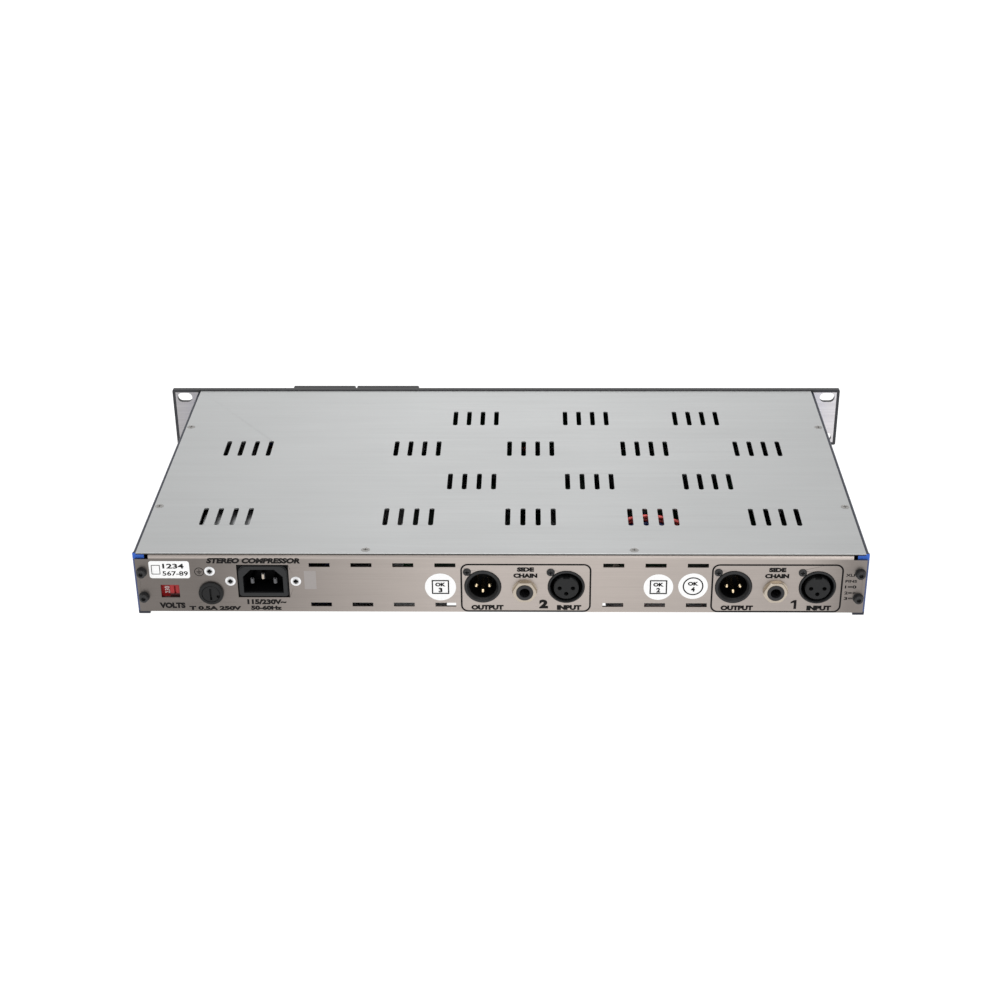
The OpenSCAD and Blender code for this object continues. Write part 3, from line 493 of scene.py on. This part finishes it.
def make_capacitor_sleeve():
    """A shrunk sleeve with a pale stripe, open at a bare top."""
    s = Shader("capacitor_sleeve", (0.02, 0.03, 0.11), 0.3)
    x, _, z = s.axes()
    stripe = s.math("GREATER_THAN", s.math("FRACT", s.math("MULTIPLY", x, 1 / (20 * MM))), 0.9)
    top = s.math("GREATER_THAN", z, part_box("capacitors")[1].z - 0.1 * MM)
    sleeve = s.mix(stripe, (0.02, 0.03, 0.11), (0.5, 0.52, 0.55))
    s.paint(s.mix(top, sleeve, (0.6, 0.61, 0.62)))
    s.link(top, s.bsdf.inputs["Metallic"])
    s.bump(s.noise(900.0), 0.02 * MM, 0.4)
    return s.mat


def make_pot_metal():
    return turned("pot_metal", (0.5, 0.48, 0.42), 0.34)


def make_lamp_red():
    s = Shader("lamp_red", (0.62, 0.06, 0.02), 0.16)
    s.set(Transmission_Weight=0.25, Coat_Weight=0.6)
    s.vary(s.noise(500.0), 0.15)
    return s.mat


def make_knob_black():
    return moulded("knob_black", (0.02, 0.02, 0.022), 0.38, Coat_Weight=0.15)


def make_button_cream():
    return moulded("button_cream", (0.62, 0.58, 0.48), 0.34, depth=0.015)


def make_meter_black():
    return moulded("meter_black", (0.012, 0.012, 0.014), 0.36, Specular_IOR_Level=0.35)


def make_meter_glass():
    s = Shader("meter_glass", (0.98, 0.99, 1.0), 0.03)
    s.set(Transmission_Weight=1.0, IOR=1.1)
    s.vary(s.noise(12.0), 0.01)
    return s.mat


def make_dial_card():
    """Warm printed card, with faint random clouding."""
    s = Shader("dial_card", (0.80, 0.68, 0.42), 0.6)
    s.vary(s.noise(140.0, detail=5.0), 0.05)
    s.bump(s.noise(2600.0), INK_DEPTH, 0.3)
    return s.mat


def make_needle_black():
    return moulded("needle_black", (0.012, 0.012, 0.012), 0.4)


def make_wire_cover(name="wire_cover", color=(0.35, 0.2, 0.05)):
    return moulded(name, color, 0.34, 900.0, 0.02)


def make_print(name, color):
    """Screen-printed ink: slightly uneven and dull."""
    s = Shader(name, color, 0.75)
    s.set(Specular_IOR_Level=0.12)
    s.vary(s.noise(1600.0, detail=4.0), 0.16)
    s.bump(s.noise(3000.0), INK_DEPTH, 0.3)
    return s.mat


def make_paper(name, color):
    s = Shader(name, color, 0.42)
    s.vary(s.noise(700.0, detail=5.0), 0.03)
    s.bump(s.noise(1500.0), INK_DEPTH, 0.3)
    return s.mat


def make_floor():
    """A backlit white sweep, bright enough to lose the shadow."""
    s = Shader("floor", (0.16, 0.16, 0.16), 0.8)
    cloud = s.noise(40.0)
    s.vary(cloud, 0.01)
    s.set(Specular_IOR_Level=0.0, Emission_Color=(1, 1, 1, 1))
    s.link(s.span(cloud, 0.0, 1.0, 1.0, 1.004), s.bsdf.inputs["Emission Strength"])
    return s.mat


MATERIALS = {
    "front_black": make_front_black(),
    "rail_blue": make_rail_blue(),
    "brushed_aluminium": make_cover_metal(),
    "brushed_steel": make_rear_metal(),
    "bare_aluminium": make_bare_metal(),
    "zinc_screw": make_zinc_screw(),
    "cover_screw_grey": make_cover_screw(),
    "black_screw": make_black_screw(),
    "nickel": make_nickel(),
    "gold_pin": make_gold(),
    "shell_black": make_shell_black(),
    "insert_grey": make_insert_grey(),
    "fuse_black": make_fuse_black(),
    "fuse_glass": make_fuse_glass(),
    "selector_red": make_selector_red(),
    "transformer_tape": make_transformer_tape(),
    "board_green": make_board_green(),
    "can_grey": make_can_grey(),
    "part_black": make_part_black(),
    "capacitor_sleeve": make_capacitor_sleeve(),
    "pot_metal": make_pot_metal(),
    "lamp_red": make_lamp_red(),
    "knob_black": make_knob_black(),
    "button_cream": make_button_cream(),
    "meter_black": make_meter_black(),
    "meter_glass": make_meter_glass(),
    "dial_card": make_dial_card(),
    "needle_black": make_needle_black(),
    "wire_cover": make_wire_cover(),
}
INK_BLACK = make_print("ink_black", (0.008, 0.0075, 0.0075))
INK_WHITE = make_print("ink_white", (0.75, 0.75, 0.73))
INK_RED = make_print("ink_red", (0.5, 0.03, 0.02))
PAPER = make_paper("sticker_paper", (0.86, 0.86, 0.86))
FILM = make_paper("label_film", (0.30, 0.275, 0.265))


def dress_frame():
    """Gives each CAD node the material of its slot."""
    for part in frame["record"]["subparts"]:
        obj = frame["nodes"][part["node"]]
        obj.data.materials.clear()
        obj.data.materials.append(MATERIALS[part["material_slot"]])


def soften(node, width, angle=35.0):
    """Rounds a CAD node's sharp edges with modifiers, so that they catch the light."""
    obj = frame["nodes"][node]
    weld = obj.modifiers.new("weld", "WELD")
    weld.merge_threshold = 0.002 * MM
    bevel = obj.modifiers.new("bevel", "BEVEL")
    bevel.width = width
    bevel.segments = 2
    bevel.limit_method = "ANGLE"
    bevel.angle_limit = math.radians(angle)
    bevel.use_clamp_overlap = True
    bevel.miter_outer = "MITER_ARC"


# ---------------------------------------------------------------- printing

class Printing:
    """Flat marks on one face at a constant Y, gathered into one thin mesh piece."""

    def __init__(self, y, out):
        self.y = y
        self.out = out
        self.mesh = bmesh.new()

    def face(self, points):
        self.mesh.faces.new([self.mesh.verts.new((x, self.y, z)) for x, z in points])

    def box(self, x, z, w, h):
        """A filled rectangle round its middle."""
        self.face([(x + sx * w / 2, z + sz * h / 2) for sx, sz in ((-1, -1), (1, -1), (1, 1), (-1, 1))])

    def strip(self, outer, inner):
        """A closed band between two outlines with the same number of points."""
        count = len(outer)
        for i in range(count):
            j = (i + 1) % count
            self.face([outer[i], outer[j], inner[j], inner[i]])

    def outline(self, x, z, w, h, radius, line):
        """A rounded rectangle's line, drawn inside its size."""
        self.strip(round_outline(x, z, w, h, radius),
                   round_outline(x, z, w - 2 * line, h - 2 * line, max(radius - line, 0.01 * MM)))

    def ring(self, x, z, radius, line):
        self.strip(circle(x, z, radius), circle(x, z, radius - line))

    def disc(self, x, z, radius):
        self.face(circle(x, z, radius))

    def arc(self, x, z, radius, line, start, end, steps=24):
        """A band along an arc. Angles are from straight up, positive towards +X."""
        angles = [math.radians(start + (end - start) * i / steps) for i in range(steps + 1)]
        for a, b in zip(angles, angles[1:]):
            self.face([(x + r * math.sin(t), z + r * math.cos(t))
                       for r, t in ((radius, a), (radius, b), (radius - line, b), (radius - line, a))])

    def tick(self, x, z, near, far, width, angle):
        """A short line that points away from a middle."""
        t = math.radians(angle)
        along = Vector((math.sin(t), math.cos(t)))
        side = Vector((math.cos(t), -math.sin(t))) * width / 2
        at = Vector((x, z))
        corners = (at + along * near - side, at + along * near + side,
                   at + along * far + side, at + along * far - side)
        self.face([tuple(c) for c in corners])

    def words(self, text, start, end, low, high, bold=0.02, slant=0.0, turned=False):
        """Letters that fill the box from x = start to x = end, as they are read.

        Turned letters read upwards instead.
        """
        curve = bpy.data.curves.new("letters", "FONT")
        curve.body = text
        curve.offset = bold
        curve.shear = slant
        curve.resolution_u = 3
        obj = bpy.data.objects.new("letters", curve)
        bpy.context.scene.collection.objects.link(obj)
        bpy.context.view_layer.update()
        flat = bpy.data.meshes.new_from_object(obj.evaluated_get(bpy.context.evaluated_depsgraph_get()))
        u0 = min(v.co.x for v in flat.vertices)
        u1 = max(v.co.x for v in flat.vertices)
        v0 = min(v.co.y for v in flat.vertices)
        v1 = max(v.co.y for v in flat.vertices)
        made = []
        for v in flat.vertices:
            along = (v.co.x - u0) / (u1 - u0)
            up = (v.co.y - v0) / (v1 - v0)
            if turned:
                along, up = 1 - up, along
            place = (start + (end - start) * along, self.y, low + (high - low) * up)
            made.append(self.mesh.verts.new(place))
        for polygon in flat.polygons:
            self.mesh.faces.new([made[i] for i in polygon.vertices])
        bpy.data.objects.remove(obj)
        bpy.data.curves.remove(curve)
        bpy.data.meshes.remove(flat)

    def one(self, start, end, low, high):
        """A plain heavy figure one in the box from x = start to x = end, as it is read."""
        wide, tall = end - start, high - low

        def at(u, v):
            return start + wide * u, low + tall * v

        self.face([at(0.55, 0.0), at(1.0, 0.0), at(1.0, 1.0), at(0.55, 1.0)])
        self.face([at(0.0, 0.62), at(0.55, 0.72), at(0.55, 1.0), at(0.0, 0.78)])

    def piece(self, name, material, body=CASE, thick=0.05 * MM, round_edge=0.0):
        """Makes the marks into a piece that stands out of the face by its thickness."""
        bmesh.ops.remove_doubles(self.mesh, verts=self.mesh.verts, dist=1e-7)
        for polygon in self.mesh.faces:
            polygon.normal_update()
            if polygon.normal.y * self.out < 0:
                polygon.normal_flip()
        data = bpy.data.meshes.new(name)
        self.mesh.to_mesh(data)
        self.mesh.free()
        data.materials.append(material)
        obj = bpy.data.objects.new(name, data)
        bpy.context.scene.collection.objects.link(obj)
        solid = obj.modifiers.new("thickness", "SOLIDIFY")
        solid.thickness = thick
        solid.offset = 1.0
        if round_edge:
            bevel = obj.modifiers.new("edge", "BEVEL")
            bevel.width = round_edge
            bevel.segments = 2
            bevel.limit_method = "ANGLE"
        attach(obj, body)
        return obj


def circle(x, z, radius, steps=48):
    return [(x + radius * math.cos(math.tau * i / steps), z + radius * math.sin(math.tau * i / steps))
            for i in range(steps)]


def round_outline(x, z, w, h, radius, steps=8):
    """The points of a rounded rectangle round its middle."""
    points = []
    for quarter, (sx, sz) in enumerate(((1, 1), (-1, 1), (-1, -1), (1, -1))):
        for i in range(steps + 1):
            t = math.pi / 2 * (quarter + i / steps)
            points.append((x + sx * (w / 2 - radius) + radius * math.cos(t),
                           z + sz * (h / 2 - radius) + radius * math.sin(t)))
    return points


def print_channel(ink, number, output_x):
    """One channel's frame and words on the rear panel, placed from its output socket."""
    def at(x):
        return output_x + x * MM

    low = REAR_LOW + 0.1 * MM
    high = 13.7 * MM
    ink.outline(at(-26.2), (low + high) / 2, 79.5 * MM, high - low, 4.7 * MM, 1.05 * MM)
    ink.words("OUTPUT", at(7.2), at(-12.6), -18.8 * MM, -15.3 * MM, 0.075)
    ink.words("INPUT", at(-45.2), at(-60.2), -18.8 * MM, -15.3 * MM, 0.075)
    ink.words("SIDE", at(-20.8), at(-31.2), 8.2 * MM, 11.3 * MM, 0.07)
    ink.words("CHAIN", at(-18.6), at(-33.2), 3.9 * MM, 7.0 * MM, 0.07)
    if number == "1":
        ink.one(at(-35.3), at(-38.9), -17.7 * MM, -11.4 * MM)
    else:
        ink.words(number, at(-34.4), at(-39.8), -17.7 * MM, -11.4 * MM, 0.07)


def print_rear():
    """The black printing on the rear panel."""
    ink = Printing(REAR_Y, 1)
    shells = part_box("output_xlr_shells")
    output_2 = shells[1].x - XLR_SHELL_HALF
    print_channel(ink, "2", output_2)
    print_channel(ink, "1", output_2 - CHANNEL_PITCH)
    ink.words("115/230V~", 155 * MM, 131 * MM, -15.2 * MM, -11.6 * MM, 0.06)
    ink.words("50-60Hz", 153 * MM, 134 * MM, -19.2 * MM, -16.1 * MM, 0.06)
    ink.words("STEREO COMPRESSOR", 178 * MM, 121 * MM, 13.6 * MM, 17.4 * MM, 0.06, 0.2)
    ink.words("VOLTS", 209.2 * MM, 193.3 * MM, -18.1 * MM, -14.05 * MM, 0.065)
    ink.words("T 0.5A 250V", 191 * MM, 159 * MM, -19.4 * MM, -16.5 * MM, 0.06)
    print_earth(ink, 182.9 * MM, 7.7 * MM)
    legend = (("XLR", 5.2, 7.1), ("PINS", 1.0, 2.85), ("1=0", -3.1, -1.0),
              ("2=+", -7.3, -5.25), ("3=-", -11.2, -9.1))
    for line, low, high in legend:
        ink.words(line, -209.4 * MM, -216.4 * MM, low * MM, high * MM, 0.03)
    ink.piece("rear_printing", INK_BLACK)


def print_earth(ink, x, z):
    """The earth sign: a stem and three bars in a circle."""
    ink.ring(x, z, 2.95 * MM, 0.4 * MM)
    ink.box(x, z + 1.0 * MM, 0.35 * MM, 1.7 * MM)
    for i, width in enumerate((3.2, 2.1, 1.0)):
        ink.box(x, z + (0.1 - 0.75 * i) * MM, width * MM, 0.35 * MM)


def stick_labels():
    """Three round stickers with a plain word and number, a label with plain numbers and a blank film."""
    paper = Printing(REAR_Y, 1)
    ink = Printing(REAR_Y + 0.1 * MM, 1)
    spots = (
        (36.2, -2.6, 9.5, "square", "3"),
        (-96.4, -2.4, 9.0, "square", "2"),
        (-117.4, -1.7, 9.0, "circle", "4"),
    )
    for x, z, radius, kind, number in spots:
        paper.disc(x * MM, z * MM, radius * MM)
        if kind == "square":
            ink.outline(x * MM, z * MM, 10.6 * MM, 9.8 * MM, 0.2 * MM, 0.8 * MM)
        else:
            ink.ring(x * MM, z * MM, 6.3 * MM, 0.8 * MM)
        ink.words("OK", (x + 3.2) * MM, (x - 3.2) * MM, (z + 0.4) * MM, (z + 3.1) * MM, 0.06)
        ink.words(number, (x + 1.2) * MM, (x - 1.2) * MM, (z - 3.8) * MM, (z - 0.5) * MM, 0.05)
    label_x, label_z = 200.95 * MM, 9.2 * MM
    paper.face(round_outline(label_x, label_z, 24.7 * MM, 12.0 * MM, 1.6 * MM))
    ink.outline(label_x + 8.3 * MM, label_z, 5.4 * MM, 6.6 * MM, 0.4 * MM, 0.45 * MM)
    ink.words("1234", label_x + 4.0 * MM, label_x - 9.0 * MM,
              label_z + 0.8 * MM, label_z + 4.2 * MM, 0.03)
    ink.words("567-89", label_x + 4.4 * MM, label_x - 11.2 * MM,
              label_z - 4.2 * MM, label_z - 1.0 * MM, 0.02)
    film = Printing(REAR_Y, 1)
    film.box(115.5 * MM, 2.1 * MM, 7.2 * MM, 12.8 * MM)
    film.piece("blank_label", FILM, thick=0.04 * MM)
    paper.piece("rear_stickers", PAPER, thick=0.1 * MM, round_edge=0.03 * MM)
    ink.piece("sticker_printing", INK_BLACK, thick=0.03 * MM)


def print_selector():
    """The voltage in the selector's window, read upwards, beside the slider."""
    low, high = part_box("selector_slider")
    digits = Printing(low.y - 0.05 * MM, 1)
    middle_z = (low.z + high.z) / 2
    digits.words("230", SELECTOR_WINDOW_END - 1.4 * MM, high.x + 0.8 * MM,
                 middle_z - 4.0 * MM, middle_z + 1.0 * MM, 0.02, turned=True)
    digits.piece("selector_digits", INK_WHITE, thick=0.04 * MM)


def print_front():
    """The white legend on the front panel."""
    ink = Printing(FRONT_Y, -1)
    for name in KNOBS:
        x = middle(name + "_knob").x
        for i in range(11):
            ink.tick(x, 0, 10.8 * MM, 12.4 * MM, 0.35 * MM, -150 + 30 * i)
        ink.words("0", x - 9.4 * MM, x - 8.0 * MM, -13.8 * MM, -12.0 * MM, 0.01)
        ink.words("10", x + 7.2 * MM, x + 9.6 * MM, -13.8 * MM, -12.0 * MM, 0.01)
        half = len(name) * 0.95 * MM
        ink.words(name.upper(), x - half, x + half, -18.6 * MM, -16.6 * MM, 0.015)
    for name in BUTTONS:
        at = middle(name + "_button")
        half = len(name) * 0.75 * MM
        z = 0.9 * MM if at.z > 0 else -2.5 * MM
        ink.words(name.upper(), at.x - half, at.x + half, z, z + 1.6 * MM, 0.01)
    lever = middle("power_switch_body").x
    ink.words("ON", lever - 2.1 * MM, lever + 2.1 * MM, 7.4 * MM, 9.4 * MM, 0.015)
    ink.words("OFF", lever - 2.8 * MM, lever + 2.8 * MM, -14.0 * MM, -12.0 * MM, 0.015)
    ink.piece("front_printing", INK_WHITE)


def print_dials():
    """The meters' scales: an arc with ticks and numbers, red at its top end."""
    low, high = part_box("meter_dials")
    face = low.y
    pivot_z = -8.5 * MM
    number_r = 23.0 * MM
    black = Printing(face, -1)
    red = Printing(face, -1)
    for needle in ("left", "right"):
        x = (low.x + high.x) / 2 + (METER_REACH if needle == "right" else -METER_REACH)
        black.arc(x, pivot_z, 19.4 * MM, 0.35 * MM, -40, 20)
        red.arc(x, pivot_z, 19.7 * MM, 0.9 * MM, 20, 40)
        scale = ((-40, "20"), (-18, "10"), (-5, "7"), (6, "5"), (20, "0"), (40, "3"))
        for angle, number in scale:
            ink = red if angle >= 20 else black
            ink.tick(x, pivot_z, 19.0 * MM, 21.2 * MM, 0.35 * MM, angle)
            t = math.radians(angle)
            at = Vector((x + number_r * math.sin(t), pivot_z + number_r * math.cos(t)))
            half = 0.65 * MM * len(number)
            ink.words(number, at.x - half, at.x + half, at.y - 0.9 * MM, at.y + 0.9 * MM, 0.01)
        black.words("VU", x - 2.2 * MM, x + 2.2 * MM, 0.5 * MM, 3.2 * MM, 0.015)
    black.piece("dial_printing", INK_BLACK, thick=0.03 * MM)
    red.piece("dial_red_printing", INK_RED, thick=0.03 * MM)


def inlay_pointers():
    """The white line in each knob's face."""
    for name in KNOBS:
        low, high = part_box(name + "_knob")
        at = middle(name + "_knob")
        radius = (high.x - low.x) / 2 - 2 * MM
        line = Printing(low.y + 0.5 * MM, -1)
        line.box(at.x, radius - 2.2 * MM, 0.8 * MM, 4.4 * MM)
        line.piece(name + "_pointer", INK_WHITE, name + "_knob_body", 0.45 * MM, 0.06 * MM)


# ---------------------------------------------------------------- wires

WIRE_RADIUS = 1.1 * MM


def wire(name, points, color, replaced):
    """A smooth insulated wire through the given points, in millimetres."""
    steps = 6
    padded = [points[0], *points, points[-1]]
    path = []
    for i in range(len(points) - 1):
        a, b, c, d = (Vector(p) for p in padded[i:i + 4])
        for s in range(steps):
            t = s / steps
            path.append(0.5 * (2 * b + (c - a) * t + (2 * a - 5 * b + 4 * c - d) * t * t
                               + (3 * b - a - 3 * c + d) * t ** 3))
    path.append(Vector(points[-1]))
    curve = bpy.data.curves.new(name, "CURVE")
    curve.dimensions = "3D"
    curve.bevel_depth = WIRE_RADIUS
    curve.bevel_resolution = 3
    curve.use_fill_caps = True
    spline = curve.splines.new("POLY")
    spline.points.add(len(path) - 1)
    for place, point in zip(path, spline.points):
        point.co = (*(place * MM), 1)
    curve.materials.append(make_wire_cover(name + "_cover", color))
    obj = bpy.data.objects.new(name, curve)
    bpy.context.scene.collection.objects.link(obj)
    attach(obj, CASE)
    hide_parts(replaced)


def run_wires():
    """Three mains wires from the inlet to the switch, and four signal wires between channel 1's sockets."""
    mains = (("brown", (0.16, 0.05, 0.02)), ("blue", (0.02, 0.08, 0.4)), ("green", (0.1, 0.35, 0.04)))
    for i, (name, color) in zip((-1, 0, 1), mains):
        rise = 3.2 * i
        wire("mains_wire_" + name, [
            (144.3 + 7 * i, 205.6, 1), (143, 194, -5 + rise), (143, 172, -5 + rise),
            (132, 150, -5 + rise), (126, 120, -5 + rise), (126, 78, -5 + rise),
            (138, 48, -5 + rise), (170, 34, -4 + rise), (187, 26, -2 + rise), (190, 16.4, -2 + rise),
        ], color, "mains_wires")
    signal = (("green", (0.01, 0.12, 0.03)), ("blue", (0.015, 0.04, 0.22)),
              ("red", (0.30, 0.012, 0.012)), ("coral", (0.72, 0.09, 0.08)))
    for i, (name, color) in enumerate(signal):
        rise = 2.6 * i
        wire("signal_wire_" + name, [
            (-142, 211.6, -4 + rise), (-139, 204, -2 + rise), (-124, 195, 4 + rise),
            (-108, 187, 8.5 + rise), (-88, 184, 9.5 + rise), (-66, 191, 5 + rise),
            (-46, 203, -2 + rise), (-42, 211.6, -4 + rise),
        ], color, "signal_wires")


# ---------------------------------------------------------------- camera, floor and light

CAMERA_LENS = 63.2
CAMERA_SENSOR = 36.0
CAMERA_PLACE = (-0.0189, 1.1592, 0.5425)
CAMERA_TURN = (1.144, 27.77, -0.465)
FLOOR_HALF = 12.0


def set_camera():
    """Behind the unit and above it, looking down at its rear panel and cover."""
    data = bpy.data.cameras.new("camera")
    data.sensor_width = CAMERA_SENSOR
    data.lens = CAMERA_LENS
    data.clip_start = 0.01
    camera = bpy.data.objects.new("camera", data)
    bpy.context.scene.collection.objects.link(camera)
    yaw, pitch, roll = (math.radians(a) for a in CAMERA_TURN)
    right, up, back = Vector((-1, 0, 0)), Vector((0, 0, 1)), Vector((0, 1, 0))
    turn = Matrix.Rotation(yaw, 3, up)
    right, back = turn @ right, turn @ back
    turn = Matrix.Rotation(-pitch, 3, right)
    up, back = turn @ up, turn @ back
    turn = Matrix.Rotation(roll, 3, back)
    right, up = turn @ right, turn @ up
    place = Matrix((right, up, back)).transposed().to_4x4()
    place.translation = CAMERA_PLACE
    camera.matrix_world = place
    bpy.context.scene.camera = camera


def area_light(name, place, target, size, power):
    data = bpy.data.lights.new(name, "AREA")
    data.shape = "RECTANGLE"
    data.size, data.size_y = size
    data.energy = power
    obj = bpy.data.objects.new(name, data)
    bpy.context.scene.collection.objects.link(obj)
    obj.location = place
    obj.rotation_euler = (Vector(target) - Vector(place)).to_track_quat("-Z", "Y").to_euler()


def light_scene():
    """Two softboxes and a pale world that is dimmer near the horizon and plain white to the camera."""
    world = bpy.data.worlds.new("studio")
    bpy.context.scene.world = world
    world.use_nodes = True
    tree = world.node_tree
    background = tree.nodes["Background"]
    background.inputs["Color"].default_value = (1.0, 1.0, 1.0, 1)
    direction = tree.nodes.new("ShaderNodeTexCoord").outputs["Generated"]
    split = tree.nodes.new("ShaderNodeSeparateXYZ")
    tree.links.new(direction, split.inputs[0])
    height = tree.nodes.new("ShaderNodeMapRange")
    for i, value in enumerate((0.0, 0.35, 0.72, 0.9), 1):
        height.inputs[i].default_value = value
    tree.links.new(split.outputs[2], height.inputs[0])
    seen = tree.nodes.new("ShaderNodeMath")
    seen.operation = "MAXIMUM"
    tree.links.new(height.outputs[0], seen.inputs[0])
    camera_ray = tree.nodes.new("ShaderNodeLightPath").outputs["Is Camera Ray"]
    tree.links.new(camera_ray, seen.inputs[1])
    tree.links.new(seen.outputs[0], background.inputs["Strength"])
    area_light("overhead_softbox", (0.0, 0.3, 1.8), (0, 0.12, 0), (1.8, 1.2), 14)
    area_light("rear_softbox", (-0.7, 1.6, 0.9), (0, 0.2, 0), (1.2, 1.0), 4)
    bpy.context.scene.view_settings.view_transform = "Standard"


def lay_floor():
    """A level sheet that the rails stand on."""
    data = bpy.data.meshes.new("floor")
    corners = [(x * FLOOR_HALF, y * FLOOR_HALF, FLOOR_Z) for x, y in ((-1, -1), (1, -1), (1, 1), (-1, 1))]
    data.from_pydata(corners, [], [(0, 1, 2, 3)])
    data.materials.append(make_floor())
    floor = bpy.data.objects.new("floor", data)
    bpy.context.scene.collection.objects.link(floor)


set_camera()
lay_floor()
light_scene()
dress_frame()
soften("top_cover", 0.18 * MM)
soften("rear_panel", 0.15 * MM)
for button in BUTTONS:
    soften(button + "_button", 0.12 * MM)
print_rear()
stick_labels()
print_selector()
print_front()
print_dials()
inlay_pointers()
run_wires()
